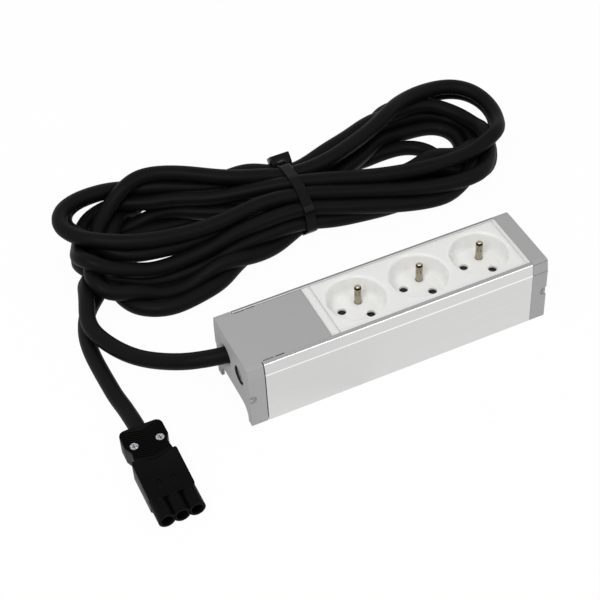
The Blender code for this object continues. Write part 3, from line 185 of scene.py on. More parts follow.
def smooth_line(places, step):
    """A Catmull-Rom curve through the places, as points a step apart."""
    ends = np.vstack([2 * places[0] - places[1], places, 2 * places[-1] - places[-2]])
    share = np.linspace(0, 1, CURVE_SAMPLES, endpoint=False)[:, None]
    curve = []
    for a, b, c, d in zip(ends, ends[1:], ends[2:], ends[3:]):
        bend = 2 * a - 5 * b + 4 * c - d + share * (3 * (b - c) + d - a)
        curve.append(b + share / 2 * (c - a + share * bend))
    curve = np.vstack(curve + [places[-1:]])
    along = np.concatenate([[0], np.cumsum(np.linalg.norm(np.diff(curve, axis=0), axis=1))])
    stations = np.linspace(0, along[-1], int(round(along[-1] / step)) + 1)
    return np.stack([np.interp(stations, along, curve[:, axis]) for axis in range(3)], 1)


def floor_under(line):
    """The lowest a centreline may lie: on the floor, or on the tie's band under the hank."""
    lift = np.exp(-((line[:, 0] - TIE_X) / TIE_LIFT_REACH) ** 2)
    return CORD_RADIUS + CORD_OVER_FLOOR + TIE_THICKNESS * lift


def settle(start):
    """Pushes the strands towards their pressed distance, and evens out their bends as a stiff sheath does."""
    apart = 2 * CORD_RADIUS - CORD_PRESSED
    first, second = np.triu_indices(len(start), SAME_STRAND_POINTS)
    line = start.copy()
    for turn in range(SETTLE_ROUNDS):
        if turn % SEARCH_EVERY == 0:
            near = np.linalg.norm(line[first] - line[second], axis=1) < apart + SEARCH_REACH
            one, other = first[near], second[near]
        away = line[one] - line[other]
        gap = np.linalg.norm(away, axis=1)
        hit = gap < apart
        move = away[hit] * ((apart - gap[hit]) / 2 / np.maximum(gap[hit], SMALLEST_GAP))[:, None]
        push = np.zeros_like(line)
        pushes = np.zeros(len(line))
        np.add.at(push, one[hit], move)
        np.add.at(push, other[hit], -move)
        np.add.at(pushes, one[hit], 1)
        np.add.at(pushes, other[hit], 1)
        line = line + push / np.maximum(pushes, 1)[:, None]
        line += DRAWN_TO_PLACE * (start - line)
        line[1:-1] += DRAWN_TO_MIDDLE * ((line[:-2] + line[2:]) / 2 - line[1:-1])
        for _ in range(BEND_STEPS):
            bend = line[:-4] - 4 * line[1:-3] + 6 * line[2:-2] - 4 * line[3:-1] + line[4:]
            line[2:-2] -= DRAWN_TO_EVEN_BEND * bend
        line[:, 2] = np.maximum(line[:, 2], floor_under(line))
        line[:CORD_HELD_POINTS] = start[:CORD_HELD_POINTS]
        line[-CORD_HELD_POINTS:] = start[-CORD_HELD_POINTS:]
    return line


def tube_mesh(name, line, radius, sides):
    """A round tube along a line, capped, with its own length and girth in metres as UV."""
    tangents = np.gradient(line, axis=0)
    tangents /= np.linalg.norm(tangents, axis=1)[:, None]
    side = np.cross(tangents[0], (0, 0, 1))
    rings = []
    for place, tangent in zip(line, tangents):
        side = side - tangent * side.dot(tangent)
        side /= np.linalg.norm(side)
        up = np.cross(side, tangent)
        turns = np.linspace(0, 2 * math.pi, sides, endpoint=False)[:, None]
        rings.append(place + radius * (side * np.cos(turns) + up * np.sin(turns)))
    along = np.concatenate([[0], np.cumsum(np.linalg.norm(np.diff(line, axis=0), axis=1))])
    faces, uvs = [], []
    for ring in range(len(line) - 1):
        for k in range(sides):
            after = (k + 1) % sides
            low, high = ring * sides, (ring + 1) * sides
            faces.append((low + k, low + after, high + after, high + k))
            girth = 2 * math.pi * radius / sides
            uvs += [(along[ring], k * girth), (along[ring], (k + 1) * girth)]
            uvs += [(along[ring + 1], (k + 1) * girth), (along[ring + 1], k * girth)]
    last = (len(line) - 1) * sides
    faces += [tuple(range(sides))[::-1], tuple(range(last, last + sides))]
    uvs += [(0, 0)] * (2 * sides)
    mesh = bpy.data.meshes.new(name)
    mesh.from_pydata(np.vstack(rings).tolist(), [], faces)
    mesh.uv_layers.new(name="length").data.foreach_set("uv", np.array(uvs, np.float32).ravel())
    mesh.shade_smooth()
    return mesh


def linear(colour):
    """A colour written as sRGB hex, as the linear colour that a shader takes."""
    parts = [int(colour[k:k + 2], 16) / 255 for k in (1, 3, 5)]
    return [c / 12.92 if c <= 0.04045 else ((c + 0.055) / 1.055) ** 2.4 for c in parts] + [1.0]


def node(tree, kind, inputs=None, **settings):
    """Adds a node with its settings, and fills or links its inputs."""
    added = tree.nodes.new(kind)
    for name, value in settings.items():
        setattr(added, name, value)
    for name, value in (inputs or {}).items():
        if isinstance(value, bpy.types.NodeSocket):
            tree.links.new(value, added.inputs[name])
        else:
            added.inputs[name].default_value = value
    return added


def material(name, **sockets):
    """A new material whose shader has these sockets set; returns it, its tree and its shader."""
    made = bpy.data.materials.new(name)
    made.use_nodes = True
    shader = made.node_tree.nodes["Principled BSDF"]
    for socket, value in sockets.items():
        shader.inputs[socket.replace("_", " ")].default_value = value
    return made, made.node_tree, shader


def noise(tree, place, scale, detail=2.0):
    """Even noise over the place, from 0 to 1."""
    texture = node(tree, "ShaderNodeTexNoise", {"Vector": place, "Scale": scale, "Detail": detail})
    return texture.outputs["Fac"]


def two_shades(tree, share, dark, light):
    """A colour between the dark one and the light one."""
    ramp = node(tree, "ShaderNodeValToRGB", {"Fac": share})
    ramp.color_ramp.elements[0].color = linear(dark)
    ramp.color_ramp.elements[1].color = linear(light)
    return ramp.outputs["Color"]


def raised(tree, shader, height, strength, distance, under=None):
    """Lets the height stand out of the surface, over a relief that may lie under it."""
    inputs = {"Height": height, "Strength": strength, "Distance": distance}
    if under:
        inputs["Normal"] = under
    relief = node(tree, "ShaderNodeBump", inputs)
    tree.links.new(relief.outputs[0], shader.inputs["Normal"])
    return relief.outputs[0]


def plasticised_pvc():
    """Plasticised PVC, drawn over the cores through a die: satin black, with faint lines along the cord, a
    slight swell where the twisted cores press through, and greyer where it has been handled."""
    made, tree, shader = material("plasticised_pvc", IOR=1.53, Specular_IOR_Level=0.055)
    length = node(tree, "ShaderNodeTexCoord").outputs["UV"]
    drawn = node(tree, "ShaderNodeVectorMath", {0: length, 1: (12, 1600, 1)}, operation="MULTIPLY")
    lines = noise(tree, drawn.outputs[0], 1.0)
    place = node(tree, "ShaderNodeTexCoord").outputs["Object"]
    patches = noise(tree, place, 45.0, 3.0)
    shade = two_shades(tree, patches, "#090909", "#121213")
    tree.links.new(shade, shader.inputs["Base Color"])
    rough = node(tree, "ShaderNodeMapRange", {"Value": patches, "To Min": 0.40, "To Max": 0.56})
    tree.links.new(rough.outputs[0], shader.inputs["Roughness"])
    cores = node(tree, "ShaderNodeVectorMath", {0: length, 1: (60, 92, 0)}, operation="MULTIPLY")
    lay = node(tree, "ShaderNodeTexWave", {"Vector": cores.outputs[0], "Scale": 0.32, "Distortion": 0.0},
               bands_direction="DIAGONAL")
    swell = raised(tree, shader, lay.outputs["Fac"], 0.10, 0.0004)
    raised(tree, shader, lines, 0.35, 0.00008, under=swell)
    return made


def wrap_up(piece):
    """Lets a finished piece ride on the block."""
    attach(piece, "block")


cord_line = smooth_line(settle(smooth_line(hank_places(), CORD_STEP)), CORD_RING_STEP)
cord = bpy.data.objects.new("mains_cord", tube_mesh("mains_cord", cord_line, CORD_RADIUS, CORD_SIDES))
cord.data.materials.append(plasticised_pvc())
bpy.context.scene.collection.objects.link(cord)
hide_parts("cord_lead", "cord_hank", "cord_plug_lead")
wrap_up(cord)


# The cable tie is one black nylon moulding. Its band is drawn tight round the fourteen strands, through a
# head that stands on the hank's upper back edge, and its end is cut off there.
TIE_WIDTH = 0.0078
TIE_HEAD = (0.0154, 0.0096, 0.0088)
TIE_HEAD_EDGE = 0.0009
TIE_HEAD_SUNK = 0.0042
TIE_HEAD_SHIFT = 0.0020
TIE_HEAD_ANGLE = 45
TIE_CLEARANCE = 0.0001
BAND_POINTS = 96
BAND_LOWEST = 0.00002
BAND_EASED_SHARE = 0.3
RIM_POINTS = 48
HANK_FRONT_Y = 0.08


def strand_places(x):
    """Where the strands cross the plane at x inside the tie, as (y, z)."""
    offset = cord_line[:, 0] - x
    crossings = np.flatnonzero((offset[:-1] * offset[1:] <= 0) & (cord_line[:-1, 1] > HANK_FRONT_Y))
    share = -offset[crossings] / (offset[crossings + 1] - offset[crossings])
    steps = cord_line[crossings + 1] - cord_line[crossings]
    return (cord_line[crossings] + steps * share[:, None])[:, 1:]


def outer_hull(points):
    """The convex outline of flat points, anticlockwise."""
    ordered = sorted(map(tuple, points))
    sides = []
    for run in (ordered, ordered[::-1]):
        side = []
        for p in run:
            while len(side) > 1 and np.cross(np.subtract(side[-1], side[-2]), np.subtract(p, side[-1])) <= 0:
                side.pop()
            side.append(p)
        sides += side[:-1]
    return np.array(sides)


def band_outline(clearance):
    """The closed line of a band drawn tight over the strands, with even points."""
    turns = np.linspace(0, 2 * math.pi, RIM_POINTS, endpoint=False)
    rim = np.stack([np.cos(turns), np.sin(turns)], 1) * (CORD_RADIUS + clearance)
    places = np.vstack([strand_places(TIE_X + shift) for shift in (-TIE_WIDTH / 2, 0, TIE_WIDTH / 2)])
    hull = outer_hull((places[:, None] + rim).reshape(-1, 2))
    closed = np.vstack([hull, hull[:1]])
    along = np.concatenate([[0], np.cumsum(np.linalg.norm(np.diff(closed, axis=0), axis=1))])
    stations = np.linspace(0, along[-1], BAND_POINTS, endpoint=False)
    return np.stack([np.interp(stations, along, closed[:, axis]) for axis in (0, 1)], 1)


def band_mesh(name, inner, thickness, width):
    """A closed flat band with its edges eased, from its inner line."""
    ahead = np.roll(inner, -1, 0) - np.roll(inner, 1, 0)
    ahead /= np.linalg.norm(ahead, axis=1)[:, None]
    out = np.stack([ahead[:, 1], -ahead[:, 0]], 1)
    ease = thickness * BAND_EASED_SHARE
    half = width / 2
    section = [(-half, 0), (-half, thickness - ease), (-half + ease, thickness),
               (half - ease, thickness), (half, thickness - ease), (half, 0)]
    verts = []
    for place, normal in zip(inner, out):
        for x, rise in section:
            y, z = place + normal * rise
            verts.append((TIE_X + x, y, max(z, BAND_LOWEST)))
    sides, count = len(section), len(inner)
    faces = []
    for ring in range(count):
        after = (ring + 1) % count
        for k in range(sides):
            right = (k + 1) % sides
            here, there = ring * sides, after * sides
            faces.append((here + k, here + right, there + right, there + k))
    mesh = bpy.data.meshes.new(name)
    mesh.from_pydata(verts, [], faces)
    return mesh


def rounded_block(name, size, radius):
    """A box about the origin with its edges rounded."""
    bpy.ops.mesh.primitive_cube_add(size=1)
    block = bpy.context.object
    block.name = name
    block.data.name = name
    block.scale = size
    bpy.ops.object.transform_apply(scale=True)
    edge = block.modifiers.new("edge", "BEVEL")
    edge.width = radius
    edge.segments = 3
    bpy.ops.object.modifier_apply(modifier="edge")
    block.data.shade_smooth()
    return block


def moulded_nylon():
    """Black nylon from a polished tool: close to gloss, so the band shows one clear streak of light."""
    made, tree, shader = material("moulded_nylon", IOR=1.53, Specular_IOR_Level=0.09, Roughness=0.16)
    shader.inputs["Base Color"].default_value = linear("#09090a")
    place = node(tree, "ShaderNodeTexCoord").outputs["Object"]
    flow = noise(tree, place, 220.0)
    raised(tree, shader, flow, 0.12, 0.0001)
    return made


nylon = moulded_nylon()
band_line = band_outline(TIE_CLEARANCE)
band = bpy.data.objects.new("tie_band", band_mesh("tie_band", band_line, TIE_THICKNESS, TIE_WIDTH))
band.data.materials.append(nylon)
bpy.context.scene.collection.objects.link(band)
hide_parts("cable_tie")
wrap_up(band)

band_outside = band_outline(TIE_CLEARANCE + TIE_THICKNESS)
corner_way = np.array([math.cos(math.radians(TIE_HEAD_ANGLE)), math.sin(math.radians(TIE_HEAD_ANGLE))])
corner = band_outside[np.argmax(band_outside @ corner_way)]
head = rounded_block("tie_head", TIE_HEAD, TIE_HEAD_EDGE)
head_middle = corner + corner_way * (TIE_HEAD[2] / 2 - TIE_HEAD_SUNK)
head.matrix_world = (
    Matrix.Translation((TIE_X + TIE_HEAD_SHIFT, head_middle[0], head_middle[1]))
    @ Matrix.Rotation(math.radians(TIE_HEAD_ANGLE - 90), 4, "X")
)
bpy.context.view_layer.update()
head.data.materials.append(nylon)
wrap_up(head)


# The connector is a shell with three tubes and a rear cap, both moulded in black polyamide and screwed
# together over the cord's end. Fine V-shaped ribs on the cap give the fingers a hold.
CONNECTOR_X = -0.1750
CONNECTOR_TOP = 0.0160
CAP_BOTTOM = 0.0004
CAP_BACK = -0.0060
CAP_HALF = 0.0145
CAP_CORNER = 0.0045
CAP_EDGE = 0.0011
CAP_WIDE_FRONT = -0.0196
NECK_HALF = 0.0120
NECK_Y = -0.0258
NECK_FLARE = 0.0010
SPLIT_MIDDLE = -0.0362
SPLIT_SLOPE = 0.30
SPLIT_GAP = 0.0003
SHARP_TURN = 40
RIB_PITCH = 0.00165
RIB_GROOVE = 0.0008
RIB_DEPTH = 0.0005
RIB_FIRST = -0.0120
RIB_COUNT = 14
RIB_REACH = 0.018
SCREW_HOLE = 0.0030
SCREW_HOLE_FLOOR = 0.0030
# Below this height the connector's screws are painted dark, as shade in their recesses.
SCREW_SHADE_TOP = 0.0152
FAR_BELOW = -1.0
RUBBED_SHARE = 0.25
SHELL_HALF = 0.0150
SHELL_FRONT = -0.0640
SHELL_FALL = 0.0025
SHELL_CORNER = 0.0020
SHELL_CHAMFER = 0.0010
SHELL_EDGE = 0.0014
DIMPLE = (0.0032, 0.0064, 0.0044)
DIMPLE_EDGE = 0.0006
DIMPLE_Y = -0.0545
TUBE_PITCH = 0.0097
TUBE_RADIUS = 0.0056
TUBE_BORE = 0.0036
TUBE_RIM = 0.0004
TUBE_MOUTH = 0.0003
TUBE_ROOT = -0.0040
TUBE_FLOOR = -0.0035
TUBE_FRONT = -0.0780
TUBE_AXIS_Z = 0.0080
TURNED_SIDES = 40
CUT_OVER = 0.001


def linked(name, verts, faces):
    """A new object from corners and faces, in the scene."""
    mesh = bpy.data.meshes.new(name)
    mesh.from_pydata(verts, [], faces)
    made = bpy.data.objects.new(name, mesh)
    bpy.context.scene.collection.objects.link(made)
    return made


def prism(name, outline, low, high):
    """A flat anticlockwise outline in x and y, filled and raised from low to high."""
    count = len(outline)
    verts = [(x, y, z) for z in (low, high) for x, y in outline]
    faces = [tuple(range(count))[::-1], tuple(range(count, 2 * count))]
    faces += [(k, (k + 1) % count, count + (k + 1) % count, count + k) for k in range(count)]
    return linked(name, verts, faces)


def turned(name, profile, steps=32):
    """A piece turned about its own Z axis, from (radius, height) points that run from axis to axis."""
    verts, rings, faces = [], [], []
    for radius, height in profile:
        turns = [2 * math.pi * k / steps for k in range(steps if radius else 1)]
        rings.append([len(verts) + k for k in range(len(turns))])
        verts += [(radius * math.cos(t), radius * math.sin(t), height) for t in turns]
    for low, high in zip(rings, rings[1:]):
        for k in range(steps):
            after = k + 1
            corners = [low[k % len(low)], low[after % len(low)], high[after % len(high)], high[k % len(high)]]
            faces.append(list(dict.fromkeys(corners)))
    return linked(name, verts, faces)


def changed(piece, kind, **settings):
    """Applies one modifier with these settings to the piece."""
    change = piece.modifiers.new(kind.lower(), kind)
    for setting, value in settings.items():
        setattr(change, setting, value)
    bpy.context.view_layer.objects.active = piece
    bpy.ops.object.modifier_apply(modifier=change.name)


def eased(piece, width):
    """Rounds the piece's sharp edges."""
    changed(piece, "BEVEL", width=width, segments=3, limit_method="ANGLE",
            angle_limit=math.radians(SHARP_TURN))


def cut(piece, tool):
    """Takes the tool's shape out of the piece, and the tool out of the scene."""
    changed(piece, "BOOLEAN", operation="DIFFERENCE", solver="EXACT", object=tool)
    bpy.data.objects.remove(tool)


def merged(name, pieces):
    """Several pieces as one object."""
    with bpy.context.temp_override(active_object=pieces[0], selected_editable_objects=pieces):
        bpy.ops.object.join()
    pieces[0].name = name
    return pieces[0]


def smoothed(piece, degrees=35):
    """Shades the piece smooth, apart from edges that turn by more than the angle."""
    piece.data.shade_smooth()
    piece.data.set_sharp_from_angle(angle=math.radians(degrees))


def solid_corners(name):
    """The corners of a CAD solid's box, in the world."""
    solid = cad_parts[name]
    return [solid.matrix_world @ Vector(corner) for corner in solid.bound_box]


def connector_outline(right, middle=None):
    """Both halves of an outline about the connector's middle, from its right half, front to back."""
    left = [(-x, y) for x, y in reversed(right)]
    back = [(0, middle)] if middle is not None else []
    return [(CONNECTOR_X + x, y) for x, y in right + back + left]


def split_y(x):
    """The V line across the connector, where the cap ends and the shell begins."""
    return SPLIT_MIDDLE + abs(x) * SPLIT_SLOPE


def rib_groove(middle):
    """The tool for one V-shaped groove between two ribs, as wide as the cap."""
    side = middle + RIB_REACH * SPLIT_SLOPE
    line = [(RIB_REACH, side), (0, middle), (-RIB_REACH, side)]
    near = [(CONNECTOR_X + x, y - RIB_GROOVE / 2) for x, y in reversed(line)]
    far = [(CONNECTOR_X + x, y + RIB_GROOVE / 2) for x, y in line]
    return prism("groove", near + far, CONNECTOR_TOP - RIB_DEPTH, CONNECTOR_TOP + CUT_OVER)


def connector_cap():
    """The rear cap: wide round its screws, drawn in to a neck, and rounded where the cord enters."""
    centre = (CAP_HALF - CAP_CORNER, CAP_BACK - CAP_CORNER)
    turns = [math.radians(18 * k) for k in range(6)]
    corner = [(centre[0] + CAP_CORNER * math.cos(t), centre[1] + CAP_CORNER * math.sin(t)) for t in turns]
    neck = [(NECK_HALF + NECK_FLARE, split_y(NECK_HALF)), (NECK_HALF, NECK_Y), (CAP_HALF, CAP_WIDE_FRONT)]
    outline = [(CONNECTOR_X, SPLIT_MIDDLE)] + connector_outline(neck + corner)
    cap = prism("connector_cap", outline, CAP_BOTTOM, CONNECTOR_TOP)
    eased(cap, CAP_EDGE)
    cut(cap, merged("grooves", [rib_groove(RIB_FIRST - k * RIB_PITCH) for k in range(RIB_COUNT)]))
    for number in (1, 2):
        middle = sum(solid_corners(f"connector_screw_{number}"), Vector()) / 8
        floor, top = SCREW_HOLE_FLOOR, CONNECTOR_TOP + CUT_OVER
        hole = turned("hole", [(0, floor), (SCREW_HOLE, floor), (SCREW_HOLE, top), (0, top)])
        hole.location = (middle.x, middle.y, 0)
        bpy.context.view_layer.update()
        cut(cap, hole)
    return cap


def connector_shell():
    """The front shell: flat and lower towards its front; the three tubes that shroud the contacts are made
    apart.
    """
    side_back = split_y(SHELL_HALF) - SPLIT_GAP
    right = [(SHELL_HALF - SHELL_CORNER, SHELL_FRONT), (SHELL_HALF, SHELL_FRONT + SHELL_CORNER),
             (SHELL_HALF, side_back - SHELL_CHAMFER), (SHELL_HALF - SHELL_CHAMFER, side_back)]
    shell = prism("connector_shell", connector_outline(right, SPLIT_MIDDLE - SPLIT_GAP), 0.0, CONNECTOR_TOP)
    eased(shell, SHELL_EDGE)
    for vertex in shell.data.vertices:
        share = (vertex.co.y - SPLIT_MIDDLE) / (SHELL_FRONT - SPLIT_MIDDLE)
        if vertex.co.z > CONNECTOR_TOP / 2:
            vertex.co.z -= SHELL_FALL * max(share, 0)
    for side in (-1, 1):
        dimple = rounded_block("dimple", DIMPLE, DIMPLE_EDGE)
        dimple.location = (CONNECTOR_X + side * TUBE_PITCH / 2, DIMPLE_Y, CONNECTOR_TOP)
        bpy.context.view_layer.update()
        cut(shell, dimple)
    return shell


def connector_tube(number, x):
    """One shrouding tube, open at its front."""
    depth = SHELL_FRONT - TUBE_FRONT
    tube = turned(f"connector_tube_{number}", [
        (0, TUBE_ROOT), (TUBE_RADIUS, TUBE_ROOT), (TUBE_RADIUS, depth - TUBE_RIM),
        (TUBE_RADIUS - TUBE_RIM, depth), (TUBE_BORE + TUBE_MOUTH, depth), (TUBE_BORE, depth - TUBE_MOUTH),
        (TUBE_BORE, TUBE_FLOOR), (0, TUBE_FLOOR),
    ], TURNED_SIDES)
    tube.matrix_world = (
        Matrix.Translation((x, SHELL_FRONT, TUBE_AXIS_Z)) @ Matrix.Rotation(math.radians(90), 4, "X")
    )
    return tube


def black_polyamide():
    """Glass-filled polyamide from a lightly eroded tool: near black and dull, with a faint grain."""
    made, tree, shader = material("black_polyamide", IOR=1.53, Specular_IOR_Level=0.035, Roughness=0.38)
    place = node(tree, "ShaderNodeTexCoord").outputs["Object"]
    grain = noise(tree, place, 1800.0)
    patches = noise(tree, place, 60.0)
    shade = two_shades(tree, patches, "#050506", "#0a0a0b")
    tree.links.new(shade, shader.inputs["Base Color"])
    raised(tree, shader, grain, 0.2, 0.00006)
    return made


def finish_nodes(finish, *names):
    """Gives CAD nodes their finish in place of the plain one."""
    for name in names:
        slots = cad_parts[name].data.materials
        slots.clear()
        slots.append(finish)


def math_node(tree, one, other, operation):
    """What a Math node makes of two values."""
    return node(tree, "ShaderNodeMath", {0: one, 1: other}, operation=operation).outputs[0]


def both(tree, one, other):
    """1 where two masks are both 1."""
    return math_node(tree, one, other, "MULTIPLY")


def between(tree, value, low, high):
    """1 where the value lies between low and high, and 0 elsewhere."""
    above = math_node(tree, value, low, "GREATER_THAN")
    below = math_node(tree, value, high, "LESS_THAN")
    return both(tree, above, below)


def laid_over(tree, under, mask, colour):
    """The colour where the mask is 1, and what lies under it elsewhere."""
    # A Mix node's colours are its inputs 6 and 7 and its output 2.
    mixed = node(tree, "ShaderNodeMix", {0: mask, 6: under, 7: linear(colour)}, data_type="RGBA")
    return mixed.outputs[2]


def zinc_plate(name, colour, shade_top=FAR_BELOW):
    """Zinc-plated steel, turned and passivated, with fine turned marks; shade is painted dark below a given
    height, where a screw sits sunk in a recess.
    """
    made, tree, shader = material(name, Metallic=1.0, Roughness=0.30)
    place = node(tree, "ShaderNodeTexCoord").outputs["Object"]
    height = node(tree, "ShaderNodeSeparateXYZ", {0: place}).outputs["Z"]
    marks = noise(tree, place, 900.0, 3.0)
    shade = node(tree, "ShaderNodeValToRGB", {"Fac": marks})
    rubbed, bright = shade.color_ramp.elements
    rubbed.position = 0.40
    rubbed.color = [RUBBED_SHARE * c for c in linear(colour)[:3]] + [1]
    bright.position = 0.56
    bright.color = linear(colour)
    # Painted shade: below the given height, the screw's cross recess and its sides down in the hole are near
    # black.
    recess_shade = between(tree, height, FAR_BELOW, shade_top)
    shown = laid_over(tree, shade.outputs["Color"], recess_shade, "#1a1a1b")
    tree.links.new(shown, shader.inputs["Base Color"])
    raised(tree, shader, marks, 0.3, 0.0001)
    return made


polyamide = black_polyamide()
connector_pieces = [connector_cap(), connector_shell()]
connector_pieces += [connector_tube(k + 2, CONNECTOR_X + k * TUBE_PITCH) for k in (-1, 0, 1)]
for piece in connector_pieces:
    smoothed(piece)
    piece.data.materials.append(polyamide)
    wrap_up(piece)
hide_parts("connector_housing")
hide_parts("connector_body")
connector_zinc = zinc_plate("connector_zinc", "#c4c6ca", SCREW_SHADE_TOP)
finish_nodes(connector_zinc, "connector_screw_1", "connector_screw_2")


# The contacts are turned brass pins and sleeves with nickel on them. Nickel takes a warm tint from the
# plating bath, and a dark reflection is painted as a ring on the domed tip of each earth pin, below its
# bright top.
PIN_RADIUS = 0.0024
PIN_SHANK = 0.0016
PIN_STEP_Z = 0.0352
PIN_DOME = 0.0024
PIN_EXTRA = 0.0007
TIP_DARK_REFLECTION_Z = (0.0497, 0.0512)


def nickel_plate():
    """Nickel on brass, turned and plated: a warm mirror, a little dulled by use, with a painted dark
    reflection on each earth pin's tip.
    """
    made, tree, shader = material("nickel_plate", Metallic=1.0, Roughness=0.17)
    place = node(tree, "ShaderNodeTexCoord").outputs["Object"]
    rub = noise(tree, place, 500.0, 3.0)
    shade = two_shades(tree, rub, "#8d8674", "#b3ac99")
    height = node(tree, "ShaderNodeSeparateXYZ", {0: place}).outputs["Z"]
    # Painted reflection: a band low on each earth pin's dome is dark.
    shown = laid_over(tree, shade, between(tree, height, *TIP_DARK_REFLECTION_Z), "#2a2721")
    tree.links.new(shown, shader.inputs["Base Color"])
    around = node(tree, "ShaderNodeVectorMath", {0: place, 1: (1, 1, 3000)}, operation="MULTIPLY")
    rings = noise(tree, around.outputs[0], 1.0)
    raised(tree, shader, rings, 0.1, 0.00005)
    return made


def earth_pin(number):
    """A plain turned pin with a domed tip, in its solid's place."""
    corners = solid_corners(f"earth_pin_{number}")
    middle = sum(corners, Vector()) / 8
    foot, top = min(c.z for c in corners), max(c.z for c in corners) + PIN_EXTRA
    turns = [math.radians(15 * k) for k in range(6)]
    dome = [(PIN_RADIUS * math.cos(t), top - PIN_DOME + PIN_DOME * math.sin(t)) for t in turns]
    shank = [(0, foot), (PIN_SHANK, foot), (PIN_SHANK, PIN_STEP_Z), (PIN_RADIUS, PIN_STEP_Z)]
    pin = turned(f"turned_pin_{number}", shank + dome + [(0, top)], TURNED_SIDES)
    pin.location = (middle.x, middle.y, 0)
    smoothed(pin, 50)
    return pin


nickel = nickel_plate()
finish_nodes(nickel, *[f"connector_contact_{k}" for k in (1, 2, 3)])
for number in (1, 2, 3):
    pin = earth_pin(number)
    pin.data.materials.append(nickel)
    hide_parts(f"earth_pin_{number}")
    wrap_up(pin)


# The channel is one length of extruded aluminium, anodised in its natural colour. The die leaves straight
# lines along it. The lips' tops have painted shade, darker on the back lip, and the front lip's edge, the
# bend below it and the sawn end have painted highlights.
# Where shade and highlights are painted on the channel, in metres.
LIP_TOPS_Z = (0.0500, 0.0600)
FRONT_LIP_Y = (-0.0260, -0.0230)
BACK_LIP_Y = (0.0244, 0.0275)
EDGE_HIGHLIGHT_Y = (-0.0270, -0.0260)
EDGE_HIGHLIGHT_Z = (0.0505, 0.0600)
BEND_HIGHLIGHT_Y = (-0.0300, -0.0262)
BEND_HIGHLIGHT_Z = (0.0415, 0.0425)
SAWN_END_LIGHT_X = (-0.2000, -0.0956)


def anodised_aluminium():
    """Natural anodised aluminium, etched before its bath: pale and satin, with faint die lines, and painted
    shade and highlights.
    """
    made, tree, shader = material("anodised_aluminium", Metallic=1.0)
    place = node(tree, "ShaderNodeTexCoord").outputs["Object"]
    stretched = node(tree, "ShaderNodeVectorMath", {0: place, 1: (6, 900, 900)}, operation="MULTIPLY")
    lines = noise(tree, stretched.outputs[0], 1.0)
    shade = two_shades(tree, lines, "#d6d5d5", "#dddddc")
    axes = node(tree, "ShaderNodeSeparateXYZ", {0: place}).outputs
    tops = between(tree, axes["Z"], *LIP_TOPS_Z)
    front_lip_shade = both(tree, between(tree, axes["Y"], *FRONT_LIP_Y), tops)
    back_lip_shade = both(tree, between(tree, axes["Y"], *BACK_LIP_Y), tops)
    edge = both(tree, between(tree, axes["Y"], *EDGE_HIGHLIGHT_Y), between(tree, axes["Z"], *EDGE_HIGHLIGHT_Z))
    bend = both(tree, between(tree, axes["Y"], *BEND_HIGHLIGHT_Y), between(tree, axes["Z"], *BEND_HIGHLIGHT_Z))
    sawn_end_light = between(tree, axes["X"], *SAWN_END_LIGHT_X)
    # Painted shade: the lips' tops are darker, the back lip most.
    shown = laid_over(tree, shade, front_lip_shade, "#a2a2a2")
    shown = laid_over(tree, shown, back_lip_shade, "#7e7e7e")
    # Painted highlights: the front lip's edge, the bend below it and the sawn end are near white.
    shown = laid_over(tree, shown, edge, "#ececec")
    shown = laid_over(tree, shown, bend, "#ffffff")
    shown = laid_over(tree, shown, sawn_end_light, "#ffffff")
    tree.links.new(shown, shader.inputs["Base Color"])
    rough = node(tree, "ShaderNodeMapRange", {"Value": lines, "To Min": 0.34, "To Max": 0.44})
    tree.links.new(rough.outputs[0], shader.inputs["Roughness"])
    raised(tree, shader, lines, 0.08, 0.00005)
    return made


finish_nodes(anodised_aluminium(), "aluminium_profile")


# The left cover and the right cap are grey ABS mouldings pushed into the channel's ends, dull from a finely
# eroded tool. The cover closes the wiring, whose carrier and clamp are black, with zinc-plated screws. Shade
# is painted near black into the spare outlet's bore and strips beside the lips, and as two dark lines round
# the cap.
SPARE_OUTLET = (-0.0100, 0.0313)
OUTLET_SHADE_RADIUS = 0.0068
OUTLET_SHADE_X = (-0.1073, -0.0500)
LATCH_X = (-0.0864, -0.0803)
LATCH_Y = (0.0227, 0.0236)
COVER_TOP_Z = (0.0505, 0.0600)
CAP_X = (0.0960, 0.1072)
CAP_SHADE_LINES_Z = ((0.0416, 0.0421), (0.0501, 0.0505))


